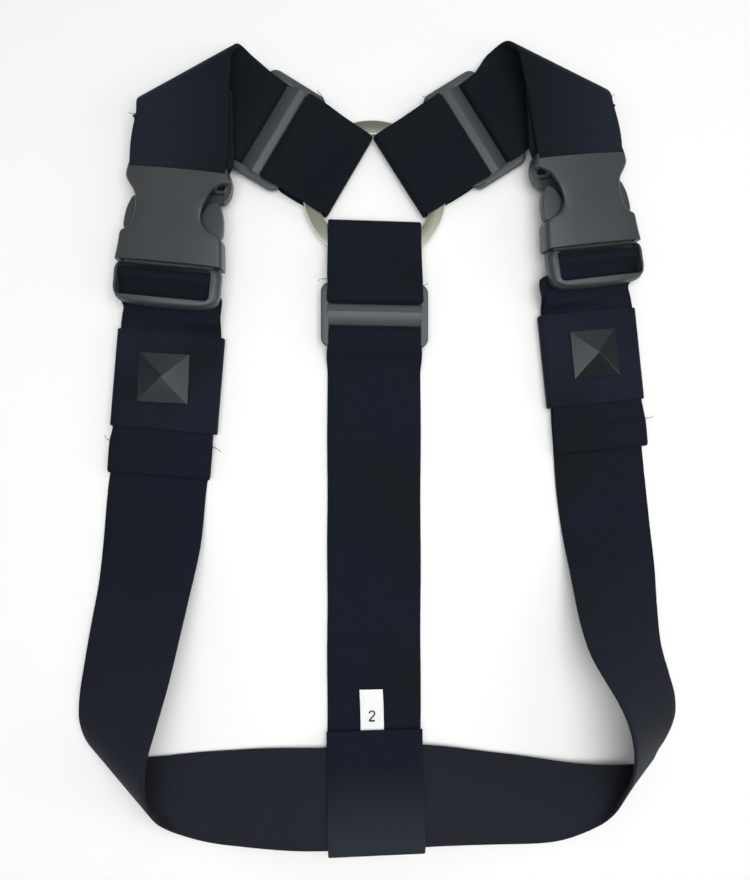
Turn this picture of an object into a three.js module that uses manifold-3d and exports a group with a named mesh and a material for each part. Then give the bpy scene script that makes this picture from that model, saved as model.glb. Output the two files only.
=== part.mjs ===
// A posture corrector laid flat: one steel ring joins two shoulder straps and a back strap,
// and the lower strap runs from one side-release buckle round the waist to the other.
// Millimetres. +X is to the right, +Y towards the shoulders, +Z up from the table.
import * as THREE from "three";
import { mergeVertices } from "three/addons/utils/BufferGeometryUtils.js";
import Module from "manifold-3d";

const wasm = await Module();
wasm.setup();

// Webbing
const STRAP_WIDTH = 49;
const STRAP_THICK = 1.6;
const RING_LOOP_SHARE = 0.975;
const TAIL_SHARE = 1.04;
const BUCKLE_SHARE = 0.97;
const GAP = 0.3;
const LAYER = STRAP_THICK + GAP;

// How far the laid-out corrector reaches: middle to side, and shoulders to waist
const HALF_SPREAD = 157;
const REACH = 427;

// Steel ring
const RING_BAND = 7.4;
const RING_THICK = 2.5;
const RING_SIDES = 48;
const RING_CENTRE = { x: -1, y: 153.5 };

// Sliders: a frame with two slots and a ridged bar between them
const SLIDER_LENGTH = 32;
const SLIDER_RAIL = 5;
const SLIDER_THICK = 3.6;
const SLIDER_BAR = 10.7;
const SLIDER_END_BAR = 4;
const SLIDER_END_BAR_THICK = 2.6;
const SLOT_SHARE = 0.95;
const SLOT_EASE = 0.4;

// Side-release buckles
const BUCKLE_THICK = 12;
const SOCKET_LENGTH = 46;
const SOCKET_HALF_WIDTH = 27;
const SOCKET_WALL = 2.4;
const SOCKET_BAR = 3.4;
const SOCKET_BAR_SETBACK = 5;
const SOCKET_WEB = 2.6;
const MOUTH_HALF_WIDTH = 23;
const PRONG_CLEARANCE = 0.5;
const FRAME_LENGTH = 21.5;
const FRAME_RAIL = 2.4;
const FRAME_FOOT = 4.2;
const MIDDLE_BAR = 3.4;
const MIDDLE_BAR_THICK = 2.6;
const BUCKLE_EDGE = 2;

// Keepers, studs and size label
const KEEPER_LENGTH = 49;
const KEEPER_THICK = 1.2;
const STUD_SIDE = 25;
const STUD_HEIGHT = 5.3;
const STUD_BASE = 0.8;
const LABEL_WIDTH = 12.2;
const LABEL_LENGTH = 24;
const LABEL_THICK = 0.5;
const LABEL_TUCK = 3;
const LABEL_SHIFT = 1.2;
const SEWN_LENGTH = 8;

// Where things lie. Headings are degrees from +X in the table's plane.
const SHOULDERS = {
  left: { heading: 150.2, slider: 59.9, ridge: 101.7, drift: 2.6, ridgeHeading: 31.5, roll: 6, share: 0.965 },
  right: { heading: 33.2, slider: 62.9, ridge: 108.7, drift: -6.2, ridgeHeading: -23.5, roll: 6, share: 0.925 },
};
const BACK = { heading: 270, slider: 64 };
// tilt leans a buckle, inner side up, and strapShift is how far the strap below it lies inwards.
const BUCKLES = {
  left: { x: -98.8, y: 157, heading: 264.1, tilt: 7, strapShift: 2 },
  right: { x: 105, y: 172.4, heading: 279.3, tilt: -7, strapShift: 4.5 },
};
const KEEPERS = {
  left: { x: -106.1, y: 53.8, heading: 265.4, tail: 47.4, tailShift: 0.6, stud: { x: -107.8, y: 55.2, heading: 267.5 } },
  right: { x: 114.9, y: 69.4, heading: 276.1, tail: 48.9, tailShift: 0.6, stud: { x: 115.8, y: 71.3, heading: 276 } },
};

// The sleeve: where the back strap folds round the lower strap
const SLEEVE = { x: -1, y: -158.3, bank: 14.8, flap: 32.3, share: 1.02 };

// Cross-sections of the lower strap from each keeper to the sleeve.
// x is a share of HALF_SPREAD, y of REACH, rise and width of STRAP_WIDTH;
// turn and bank point from the outer edge to the inner one, in plan and up.
const LEFT_SIDE = [
  { x: -0.712, y: 0.0, rise: 0.017, turn: -5, bank: 0, width: 1.0 },
  { x: -0.726, y: -0.062, rise: 0.06, turn: -6, bank: 5, width: 1.0 },
  { x: -0.748, y: -0.119, rise: 0.135, turn: -8, bank: 13, width: 0.99 },
  { x: -0.773, y: -0.169, rise: 0.195, turn: -12, bank: 18, width: 0.99 },
  { x: -0.797, y: -0.215, rise: 0.25, turn: -15, bank: 22, width: 0.99 },
  { x: -0.82, y: -0.257, rise: 0.3, turn: -19, bank: 26, width: 0.98 },
  { x: -0.831, y: -0.285, rise: 0.33, turn: -23, bank: 30, width: 0.97 },
  { x: -0.832, y: -0.307, rise: 0.31, turn: -31, bank: 29, width: 0.96 },
  { x: -0.823, y: -0.33, rise: 0.24, turn: -40, bank: 23, width: 0.97 },
  { x: -0.801, y: -0.348, rise: 0.15, turn: -46, bank: 13, width: 0.99 },
  { x: -0.764, y: -0.36, rise: 0.085, turn: -49, bank: 6, width: 1.03 },
  { x: -0.706, y: -0.368, rise: 0.048, turn: -53, bank: 3, width: 1.05 },
  { x: -0.621, y: -0.372, rise: 0.045, turn: -59, bank: 2, width: 1.06 },
  { x: -0.511, y: -0.372, rise: 0.064, turn: -67, bank: 5, width: 1.05 },
  { x: -0.35, y: -0.371, rise: 0.12, turn: -78, bank: 10, width: 1.03 },
];
const RIGHT_SIDE = [
  { x: 0.772, y: 0.007, rise: 0.017, turn: -176, bank: 0, width: 1.01 },
  { x: 0.789, y: -0.047, rise: 0.03, turn: -174, bank: 0, width: 1.0 },
  { x: 0.803, y: -0.099, rise: 0.1, turn: -173, bank: 6, width: 1.0 },
  { x: 0.817, y: -0.159, rise: 0.19, turn: -175, bank: 15, width: 1.0 },
  { x: 0.835, y: -0.199, rise: 0.25, turn: -179, bank: 22, width: 1.01 },
  { x: 0.866, y: -0.231, rise: 0.3, turn: -183, bank: 27, width: 1.01 },
  { x: 0.893, y: -0.257, rise: 0.33, turn: -187, bank: 31, width: 1.01 },
  { x: 0.903, y: -0.28, rise: 0.37, turn: -190, bank: 37, width: 1.01 },
  { x: 0.893, y: -0.304, rise: 0.41, turn: -193, bank: 45, width: 0.98 },
  { x: 0.88, y: -0.323, rise: 0.41, turn: -189, bank: 50, width: 0.9 },
  { x: 0.873, y: -0.341, rise: 0.36, turn: -177, bank: 49, width: 0.77 },
  { x: 0.865, y: -0.356, rise: 0.28, turn: -155, bank: 38, width: 0.66 },
  { x: 0.843, y: -0.371, rise: 0.2, turn: -133, bank: 20, width: 0.65 },
  { x: 0.799, y: -0.381, rise: 0.145, turn: -118, bank: 7, width: 0.7 },
  { x: 0.734, y: -0.388, rise: 0.1, turn: -108, bank: 0, width: 0.78 },
  { x: 0.632, y: -0.391, rise: 0.07, turn: -101, bank: 0, width: 0.87 },
  { x: 0.408, y: -0.383, rise: 0.085, turn: -95, bank: 6, width: 0.95 },
];
const STEPS_BETWEEN_ROWS = 3;

// Plan of the buckle's socket: along is a share of SOCKET_LENGTH, the edges of SOCKET_HALF_WIDTH.
// The finger cut on the inner side, towards the back, is the deeper one.
const SOCKET_OUTER_EDGE = [
  { along: 0, edge: 0.935 },
  { along: 0.05, edge: 0.94 },
  { along: 0.12, edge: 0.945 },
  { along: 0.195, edge: 0.935 },
  { along: 0.235, edge: 0.86 },
  { along: 0.27, edge: 0.77 },
  { along: 0.36, edge: 0.725 },
  { along: 0.5, edge: 0.72 },
  { along: 0.6, edge: 0.755 },
  { along: 0.665, edge: 0.85 },
  { along: 0.7, edge: 0.945 },
  { along: 0.82, edge: 0.965 },
  { along: 1, edge: 1 },
];
const SOCKET_INNER_EDGE = [
  { along: 0, edge: 0.945 },
  { along: 0.05, edge: 0.98 },
  { along: 0.13, edge: 0.99 },
  { along: 0.195, edge: 0.95 },
  { along: 0.235, edge: 0.83 },
  { along: 0.3, edge: 0.69 },
  { along: 0.4, edge: 0.59 },
  { along: 0.5, edge: 0.565 },
  { along: 0.58, edge: 0.61 },
  { along: 0.64, edge: 0.73 },
  { along: 0.69, edge: 0.92 },
  { along: 0.82, edge: 0.965 },
  { along: 1, edge: 1 },
];

// Plan of one sprung prong: the pad's outer face, then its inner face back to the base.
const PRONG_EDGE = [
  { along: 0.955, edge: 0.82 },
  { along: 0.9, edge: 0.64 },
  { along: 0.76, edge: 0.6 },
  { along: 0.69, edge: 0.68 },
  { along: 0.675, edge: 0.86 },
  { along: 0.64, edge: 0.915 },
  { along: 0.5, edge: 0.915 },
  { along: 0.38, edge: 0.87 },
  { along: 0.285, edge: 0.78 },
  { along: 0.3, edge: 0.65 },
  { along: 0.45, edge: 0.5 },
  { along: 0.6, edge: 0.45 },
  { along: 0.8, edge: 0.42 },
  { along: 0.9, edge: 0.36 },
];

// Sizes that follow from the ones above
const HALF = STRAP_WIDTH / 2;
const RING_FOOT = LAYER;
const RING_TOP = RING_FOOT + RING_THICK;
const RING_FOLD = (RING_TOP + GAP) / 2;
const CLOSEST_HEADINGS = Math.min(
  SHOULDERS.left.heading - SHOULDERS.right.heading,
  BACK.heading - SHOULDERS.left.heading,
  SHOULDERS.right.heading + 360 - BACK.heading,
);
const LOOP_HALF = HALF * RING_LOOP_SHARE;
const FOLD_REACH = LOOP_HALF / Math.tan(THREE.MathUtils.degToRad(CLOSEST_HEADINGS / 2)) + 2 * GAP;
const RING_INNER = Math.hypot(FOLD_REACH + RING_FOLD, LOOP_HALF) + GAP;
const RING_OUTER = RING_INNER + RING_BAND;
const TABLE = STRAP_THICK / 2;
const SLIDER_FOOT = LAYER;
const SLOT_HALF = HALF * SLOT_SHARE + GAP;
const END_BAR_OFFSET = (SLIDER_LENGTH - SLIDER_END_BAR) / 2;
const END_BAR_MID = SLIDER_FOOT + SLIDER_END_BAR_THICK / 2 + GAP;
const FRAME_INNER = HALF * BUCKLE_SHARE + GAP;
const FRAME_OUTER = FRAME_INNER + FRAME_RAIL;
const BUCKLE_LIFT = 0.2;

const WEBBING = new THREE.MeshStandardMaterial({ color: 0x1d212b, roughness: 0.95, metalness: 0 });
const PLASTIC = new THREE.MeshStandardMaterial({ color: 0x484c4e, roughness: 0.5, metalness: 0 });
const STUD_PLASTIC = new THREE.MeshStandardMaterial({ color: 0x2a2c2f, roughness: 0.6, metalness: 0 });
const STEEL = new THREE.MeshStandardMaterial({ color: 0xa5a596, roughness: 0.35, metalness: 0.9 });
const SATIN = new THREE.MeshStandardMaterial({ color: 0xe8e8e6, roughness: 0.5, metalness: 0 });

const radians = THREE.MathUtils.degToRad;

// A local frame on the table: x across, y along the heading, z up, rolled about y by tilt.
function frameAt(x, y, z, heading, tilt = 0) {
  return new THREE.Matrix4()
    .makeTranslation(x, y, z)
    .multiply(new THREE.Matrix4().makeRotationZ(radians(heading - 90)))
    .multiply(new THREE.Matrix4().makeRotationY(radians(tilt)));
}

// One cross-section of webbing per [along, height, share of width]; side says which edge is first.
function run(frame, points, side, shift = 0) {
  return points.map(([along, height, share = 1]) => ({
    a: new THREE.Vector3(side * (HALF * share + shift), along, height).applyMatrix4(frame),
    b: new THREE.Vector3(side * (shift - HALF * share), along, height).applyMatrix4(frame),
  }));
}

// The closed solid of a strip of webbing through its cross-sections.
function ribbon(sections, thickness = STRAP_THICK) {
  const count = sections.length;
  const patchNormal = (i, side) => {
    const along = sections[i + 1][side].clone().sub(sections[i][side]);
    const across = sections[i].b.clone().sub(sections[i].a);
    across.add(sections[i + 1].b).sub(sections[i + 1].a);
    return along.cross(across).normalize();
  };
  const cornerOffset = (i, side) => {
    const near = patchNormal(Math.min(i, count - 2), side);
    const far = patchNormal(Math.max(i - 1, 0), side);
    const mean = near.clone().add(far).normalize();
    return mean.multiplyScalar(thickness / 2 / Math.max(mean.dot(near), 0.5));
  };
  const positions = [];
  sections.forEach((section, i) => {
    for (const side of ["a", "b"]) {
      const offset = cornerOffset(i, side);
      positions.push(...section[side].clone().add(offset).toArray());
      positions.push(...section[side].clone().sub(offset).toArray());
    }
  });
  const index = [];
  const quad = (p, q, r, s) => index.push(p, q, r, p, r, s);
  for (let i = 0; i < count - 1; i++) {
    const here = 4 * i;
    const next = here + 4;
    quad(here, here + 2, next + 2, next);
    quad(here + 3, here + 1, next + 1, next + 3);
    quad(here + 1, here, next, next + 1);
    quad(here + 2, here + 3, next + 3, next + 2);
  }
  const last = 4 * (count - 1);
  quad(0, 1, 3, 2);
  quad(last + 1, last, last + 2, last + 3);
  const geometry = new THREE.BufferGeometry();
  geometry.setAttribute("position", new THREE.Float32BufferAttribute(positions, 3));
  geometry.setIndex(index);
  return facingOut(geometry);
}

// Turns a closed geometry's faces outwards if they point inwards.
function facingOut(geometry) {
  const position = geometry.getAttribute("position");
  const index = geometry.getIndex().array;
  const corner = (i) => new THREE.Vector3().fromBufferAttribute(position, index[i]);
  let volume = 0;
  for (let i = 0; i < index.length; i += 3) {
    volume += corner(i).dot(corner(i + 1).cross(corner(i + 2)));
  }
  if (volume < 0) {
    for (let i = 0; i < index.length; i += 3) {
      [index[i + 1], index[i + 2]] = [index[i + 2], index[i + 1]];
    }
  }
  geometry.computeVertexNormals();
  return geometry;
}

function toSolid(geometry) {
  const bare = geometry.clone();
  bare.deleteAttribute("normal");
  bare.deleteAttribute("uv");
  const merged = mergeVertices(bare, 1e-4);
  return new wasm.Manifold(
    new wasm.Mesh({
      numProp: 3,
      vertProperties: merged.getAttribute("position").array,
      triVerts: new Uint32Array(merged.getIndex().array),
    }),
  );
}

function fromSolid(solid) {
  const mesh = solid.getMesh();
  const geometry = new THREE.BufferGeometry();
  geometry.setAttribute("position", new THREE.Float32BufferAttribute(mesh.vertProperties, 3));
  geometry.setIndex([...mesh.triVerts]);
  geometry.computeVertexNormals();
  return geometry;
}

// A box given by its low and high corners.
function block(low, high) {
  const size = high.map((value, i) => value - low[i]);
  const middle = high.map((value, i) => (value + low[i]) / 2);
  return new THREE.BoxGeometry(...size).translate(...middle);
}

function outline(points) {
  return new THREE.Shape(points.map(([x, y]) => new THREE.Vector2(x, y)));
}

// A plate of the given outline between two heights, with its edges bevelled.
function plate(shape, low, high, bevel) {
  const options = { depth: high - low - 2 * bevel, steps: 1, curveSegments: 6 };
  const edges = bevel > 0
    ? { bevelEnabled: true, bevelSize: bevel, bevelThickness: bevel, bevelOffset: -bevel, bevelSegments: 1 }
    : { bevelEnabled: false };
  return new THREE.ExtrudeGeometry(shape, { ...options, ...edges }).translate(0, 0, low + bevel);
}

// An eight-sided bar across the frame, its section size by height, centred at along and height.
function crossBar(halfLength, along, height, size, thick) {
  const bar = new THREE.CylinderGeometry(0.5, 0.5, 2 * halfLength, 8).rotateZ(Math.PI / 2);
  return bar.rotateX(Math.PI / 8).scale(1, size, thick).translate(0, along, height);
}

// The strap's loop from its sewn end round the slider's bar, through the ring and back over both.
function ringLoop(sliderReach) {
  const nearBar = sliderReach - END_BAR_OFFSET;
  const farBar = sliderReach + END_BAR_OFFSET;
  const over = SLIDER_FOOT + SLIDER_END_BAR_THICK + GAP + LAYER / 2 + GAP;
  const tight = SLOT_SHARE;
  const sewnEnd = nearBar - SEWN_LENGTH;
  const foldAxis = FOLD_REACH + RING_FOLD;
  const foldMid = TABLE + RING_FOLD + GAP / 2;
  const foldRise = RING_FOLD + GAP / 2;
  const fold = [-90, -120, -150, -180, -210, -240, -270].map((angle) => [
    foldAxis + (RING_FOLD - GAP) * Math.cos(radians(angle)),
    foldMid + foldRise * Math.sin(radians(angle)),
    RING_LOOP_SHARE,
  ]);
  const wrap = SLIDER_END_BAR / 2 + GAP + STRAP_THICK / 2;
  return [
    [sewnEnd, TABLE + LAYER],
    [nearBar - wrap - 1.2, TABLE + LAYER, tight],
    [nearBar - 1.6, over - 0.15, tight],
    [nearBar + 1, over, tight],
    [nearBar + wrap - 0.5, over - 0.9, tight],
    [nearBar + wrap, END_BAR_MID - 0.2, tight],
    [nearBar + wrap - 0.6, TABLE + 0.75, tight],
    [nearBar + 1, TABLE, tight],
    [nearBar - 4, TABLE],
    ...fold,
    [RING_OUTER + 1, foldMid + foldRise, RING_LOOP_SHARE],
    [nearBar - 4.5, over + LAYER - 0.7],
    [nearBar - 1, over + LAYER, tight],
    [nearBar + 2, over + LAYER - 0.3, tight],
    [nearBar + wrap + LAYER - 0.4, over - 0.9, tight],
    [nearBar + wrap + LAYER + 0.3, END_BAR_MID - 0.6, tight],
    [nearBar + wrap + LAYER + 1.8, TABLE + 0.4, tight],
    [sliderReach - 3, TABLE, tight],
    [sliderReach + 3, TABLE, tight],
    [farBar - wrap - SLOT_EASE - 2.6, TABLE + 0.5, tight],
    [farBar - wrap - SLOT_EASE, END_BAR_MID - 0.4, tight],
    [farBar - wrap + 0.6, over - 0.5, tight],
    [farBar, over, tight],
    [farBar + 2.4, over - 0.7, tight],
    [farBar + 7, TABLE + 1.2],
    [farBar + 11, TABLE],
  ];
}

// The rolled diagonal fold at the top of a shoulder: rulings parallel to the ridge, half a turn round it.
function diagonalRoll(place) {
  const plane = (angle) => new THREE.Vector3(Math.cos(radians(angle)), Math.sin(radians(angle)), 0);
  const heading = plane(place.heading);
  const across = plane(place.heading - 90);
  const ridge = plane(place.ridgeHeading);
  const away = plane(place.ridgeHeading + 90);
  if (heading.dot(away) < 0) away.negate();
  const start = new THREE.Vector3(RING_CENTRE.x, RING_CENTRE.y, TABLE);
  start.addScaledVector(heading, place.ridge).addScaledVector(across, place.drift);
  const reach = (HALF * place.share) / ridge.dot(across);
  const slip = heading.dot(ridge) / heading.dot(away);
  const sections = [];
  for (let angle = 0; angle <= 180; angle += 22.5) {
    const centre = start.clone();
    centre.addScaledVector(ridge, place.roll * radians(angle) * slip);
    centre.addScaledVector(away, place.roll * Math.sin(radians(angle)));
    centre.z += place.roll * (1 - Math.cos(radians(angle)));
    sections.push({
      a: centre.clone().addScaledVector(ridge, reach),
      b: centre.clone().addScaledVector(ridge, -reach),
    });
  }
  return sections;
}

// The strap's way into the socket, round its bar and back up behind itself, where it is sewn down.
function socketLoop(frame) {
  const mid = BUCKLE_THICK / 2 - 1;
  const wrap = (SOCKET_BAR + STRAP_THICK) / 2 + GAP;
  const back = SOCKET_BAR_SETBACK + wrap;
  const tight = BUCKLE_SHARE;
  return run(frame, [
    [-24, mid + wrap + 0.9, 1.02],
    [-12, mid + wrap + 0.6, 1.02],
    [-2, mid + wrap, tight],
    [SOCKET_BAR_SETBACK, mid + wrap, tight],
    [SOCKET_BAR_SETBACK + wrap * 0.7, mid + wrap * 0.7, tight],
    [back, mid, tight],
    [SOCKET_BAR_SETBACK + wrap * 0.7, mid - wrap * 0.7, tight],
    [SOCKET_BAR_SETBACK, mid - wrap, tight],
    [1, mid - wrap + 0.2, tight],
    [-7, mid + wrap - 0.2 - LAYER],
    [-12, mid + wrap + 0.4 - LAYER],
    [-23, mid + wrap + 0.7 - LAYER],
  ], -1);
}

function buckleFrame(place) {
  const lift = BUCKLE_LIFT + FRAME_OUTER * Math.abs(Math.sin(radians(place.tilt)));
  return frameAt(place.x, place.y, lift, place.heading, place.tilt);
}

function shoulderStrap(side) {
  const place = SHOULDERS[side];
  const ringFrame = frameAt(RING_CENTRE.x, RING_CENTRE.y, 0, place.heading);
  return ribbon([
    ...run(ringFrame, ringLoop(place.slider), 1),
    ...diagonalRoll(place),
    ...socketLoop(buckleFrame(BUCKLES[side])),
  ]);
}

// A cross-section of the lower strap from one row of the tables.
function sideSection(row) {
  const middle = new THREE.Vector3(row.x * HALF_SPREAD, row.y * REACH, row.rise * STRAP_WIDTH);
  const reach = HALF * row.width;
  const level = reach * Math.cos(radians(row.bank));
  const across = new THREE.Vector3(
    level * Math.cos(radians(row.turn)),
    level * Math.sin(radians(row.turn)),
    reach * Math.sin(radians(row.bank)),
  );
  return { a: middle.clone().sub(across), b: middle.clone().add(across) };
}

// The lower strap's cross-section in the sleeve, at one of its two ends.
function sleeveSection(offset) {
  const bank = radians(SLEEVE.bank);
  const level = HALF * Math.cos(bank);
  const rise = HALF * Math.sin(bank);
  const x = SLEEVE.x + offset;
  const foot = TABLE + LAYER;
  return {
    a: new THREE.Vector3(x, SLEEVE.y + level, foot),
    b: new THREE.Vector3(x, SLEEVE.y - level, foot + 2 * rise),
  };
}

// Smooth sections through the given ones, both edges on curves.
function smoothed(sections, steps) {
  const edge = (side) => {
    const curve = new THREE.CatmullRomCurve3(sections.map((section) => section[side]), false, "centripetal");
    return curve.getPoints((sections.length - 1) * steps);
  };
  const first = edge("a");
  const second = edge("b");
  return first.map((point, i) => ({ a: point, b: second[i] }));
}

// Tail, keeper, buckle bar and back through the keeper, for one end of the lower strap.
function strapEnd(side) {
  const keeper = KEEPERS[side];
  const place = BUCKLES[side];
  const outward = side === "left" ? 1 : -1;
  const keeperFrame = frameAt(keeper.x, keeper.y, 0, keeper.heading);
  const frame = buckleFrame(place);
  const edge = KEEPER_LENGTH / 2 + 2;
  const lower = KEEPER_THICK + GAP + STRAP_THICK / 2;
  const upper = lower + LAYER;
  const bar = SOCKET_LENGTH + FRAME_LENGTH * 0.46;
  const barMid = BUCKLE_THICK / 2 - 0.4;
  const wrap = (MIDDLE_BAR_THICK + STRAP_THICK) / 2 + GAP;
  const reach = MIDDLE_BAR / 2 + GAP + STRAP_THICK / 2;
  const under = TABLE + GAP;
  const foot = SOCKET_LENGTH + FRAME_LENGTH;
  const tight = BUCKLE_SHARE;
  return [
    ...run(keeperFrame, [
      [keeper.tail, TABLE + LAYER, TAIL_SHARE],
      [edge + 6, TABLE + LAYER, TAIL_SHARE],
      [edge, upper],
      [-edge, upper],
    ], outward, keeper.tailShift),
    ...run(frame, [
      [foot + 5, under + LAYER],
    ], outward, -place.strapShift),
    ...run(frame, [
      [foot + 0.5, under + LAYER, tight],
      [foot - FRAME_FOOT, under + LAYER, tight],
      [bar + reach + 1.4, barMid, tight],
      [bar + reach * 0.6, barMid + wrap * 0.85, tight],
      [bar, barMid + wrap, tight],
      [bar - reach * 0.7, barMid + wrap * 0.7, tight],
      [bar - reach, barMid, tight],
      [bar - reach * 0.6, barMid - wrap * 0.85, tight],
      [bar + 0.6, barMid - wrap - 0.5, tight],
      [bar + reach + 2.5, under, tight],
    ], outward),
    ...run(frame, [
      [foot - FRAME_FOOT, under],
      [foot + 1.5, under],
    ], outward, -place.strapShift),
    ...run(keeperFrame, [
      [-edge, lower],
      [edge, lower],
      [edge + 6, TABLE],
    ], outward),
  ];
}

function lowerStrap() {
  const left = [...LEFT_SIDE.map(sideSection), sleeveSection(-HALF - 2)];
  const right = [...RIGHT_SIDE.map(sideSection), sleeveSection(HALF + 2)];
  return ribbon([
    ...strapEnd("left"),
    ...smoothed(left, STEPS_BETWEEN_ROWS),
    ...smoothed(right, STEPS_BETWEEN_ROWS).reverse(),
    ...strapEnd("right").reverse(),
  ]);
}

function backStrap() {
  const frame = frameAt(RING_CENTRE.x, RING_CENTRE.y, 0, BACK.heading);
  const bank = radians(SLEEVE.bank);
  const level = HALF * Math.cos(bank);
  const near = RING_CENTRE.y - SLEEVE.y - level;
  const far = near + 2 * level;
  const foot = TABLE + LAYER;
  const lip = foot + 2 * HALF * Math.sin(bank);
  const wrap = LAYER;
  const edge = far + STRAP_THICK / 2;
  const fold = [-70, -35, 0, 35, 70, 100].map((angle) => [
    edge - STRAP_THICK / 4 + wrap * Math.cos(radians(angle)),
    lip + wrap * Math.sin(radians(angle)),
  ]);
  const flap = RING_CENTRE.y - SLEEVE.y - SLEEVE.flap;
  return ribbon([
    ...run(frame, ringLoop(BACK.slider), 1),
    ...run(frame, [
      [near - 3, TABLE],
      [near + 1.5, TABLE + 0.1],
      [far - 1, lip - wrap - 0.35],
      ...fold,
      [far - 3, lip + wrap - 0.7],
      [near, foot + wrap + 0.15],
      [near - 4, TABLE + LAYER + GAP + LABEL_THICK, SLEEVE.share],
      [flap, TABLE + LAYER + GAP + LABEL_THICK, SLEEVE.share],
    ], 1),
  ]);
}

function ring() {
  const edge = 0.5;
  const profile = [
    [RING_INNER + edge, RING_FOOT],
    [RING_OUTER - edge, RING_FOOT],
    [RING_OUTER, RING_FOOT + edge],
    [RING_OUTER, RING_TOP - edge],
    [RING_OUTER - edge, RING_TOP],
    [RING_INNER + edge, RING_TOP],
    [RING_INNER, RING_TOP - edge],
    [RING_INNER, RING_FOOT + edge],
    [RING_INNER + edge, RING_FOOT],
  ].map(([x, y]) => new THREE.Vector2(x, y));
  const geometry = new THREE.LatheGeometry(profile, RING_SIDES).rotateX(Math.PI / 2);
  return fromSolid(toSolid(geometry));
}

function slider() {
  const halfLength = SLIDER_LENGTH / 2;
  const halfWidth = SLOT_HALF + SLIDER_RAIL;
  const corner = 3;
  const shape = outline([
    [-halfWidth + corner, -halfLength],
    [halfWidth - corner, -halfLength],
    [halfWidth, -halfLength + corner],
    [halfWidth, halfLength - corner],
    [halfWidth - corner, halfLength],
    [-halfWidth + corner, halfLength],
    [-halfWidth, halfLength - corner],
    [-halfWidth, -halfLength + corner],
  ]);
  const top = SLIDER_FOOT + SLIDER_THICK;
  const body = toSolid(plate(shape, SLIDER_FOOT, top, 0.7));
  const opening = toSolid(block([-SLOT_HALF, -halfLength - 1, 0], [SLOT_HALF, halfLength + 1, top + 1]));
  const roof = outline([
    [-SLIDER_BAR / 2, SLIDER_FOOT + 0.3],
    [SLIDER_BAR / 2, SLIDER_FOOT + 0.3],
    [SLIDER_BAR / 2, top - 0.9],
    [1, top + 0.9],
    [-1, top + 0.9],
    [-SLIDER_BAR / 2, top - 0.9],
  ]);
  const length = 2 * (SLOT_HALF + 1);
  const bar = new THREE.ExtrudeGeometry(roof, { depth: length, bevelEnabled: false, steps: 1 });
  bar.translate(0, 0, -length / 2).rotateY(Math.PI / 2).rotateX(Math.PI / 2);
  let solid = body.subtract(opening).add(toSolid(bar));
  for (const end of [-1, 1]) {
    const round = crossBar(SLOT_HALF + 1, end * END_BAR_OFFSET, END_BAR_MID, SLIDER_END_BAR, SLIDER_END_BAR_THICK);
    solid = solid.add(toSolid(round));
  }
  return fromSolid(solid);
}

// Plan outline from the two edge tables; outward is +1 where +x is the outer side.
function socketOutline(outward) {
  const corner = (side) => (row) => [side * row.edge * SOCKET_HALF_WIDTH, row.along * SOCKET_LENGTH];
  const outer = SOCKET_OUTER_EDGE.map(corner(outward));
  const inner = SOCKET_INNER_EDGE.map(corner(-outward));
  return outline([...outer, ...inner.reverse()]);
}

function socket(outward) {
  const body = toSolid(plate(socketOutline(outward), 0, BUCKLE_THICK, BUCKLE_EDGE));
  const mid = BUCKLE_THICK / 2 - 1;
  const wrap = (SOCKET_BAR + STRAP_THICK) / 2 + GAP;
  const strapRoof = mid + wrap + STRAP_THICK / 2 + GAP;
  const strapEndWall = SOCKET_BAR_SETBACK + wrap + STRAP_THICK / 2 + GAP;
  const strapMouth = block([-FRAME_INNER, -1, -1], [FRAME_INNER, strapEndWall, strapRoof]);
  const hollow = block(
    [-MOUTH_HALF_WIDTH - PRONG_CLEARANCE, strapEndWall + SOCKET_WEB, SOCKET_WALL],
    [MOUTH_HALF_WIDTH + PRONG_CLEARANCE, SOCKET_LENGTH + 1, BUCKLE_THICK - SOCKET_WALL],
  );
  const bar = crossBar(FRAME_INNER + 0.5, SOCKET_BAR_SETBACK, mid, SOCKET_BAR, SOCKET_BAR);
  return fromSolid(body.subtract(toSolid(strapMouth)).subtract(toSolid(hollow)).add(toSolid(bar)));
}

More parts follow.
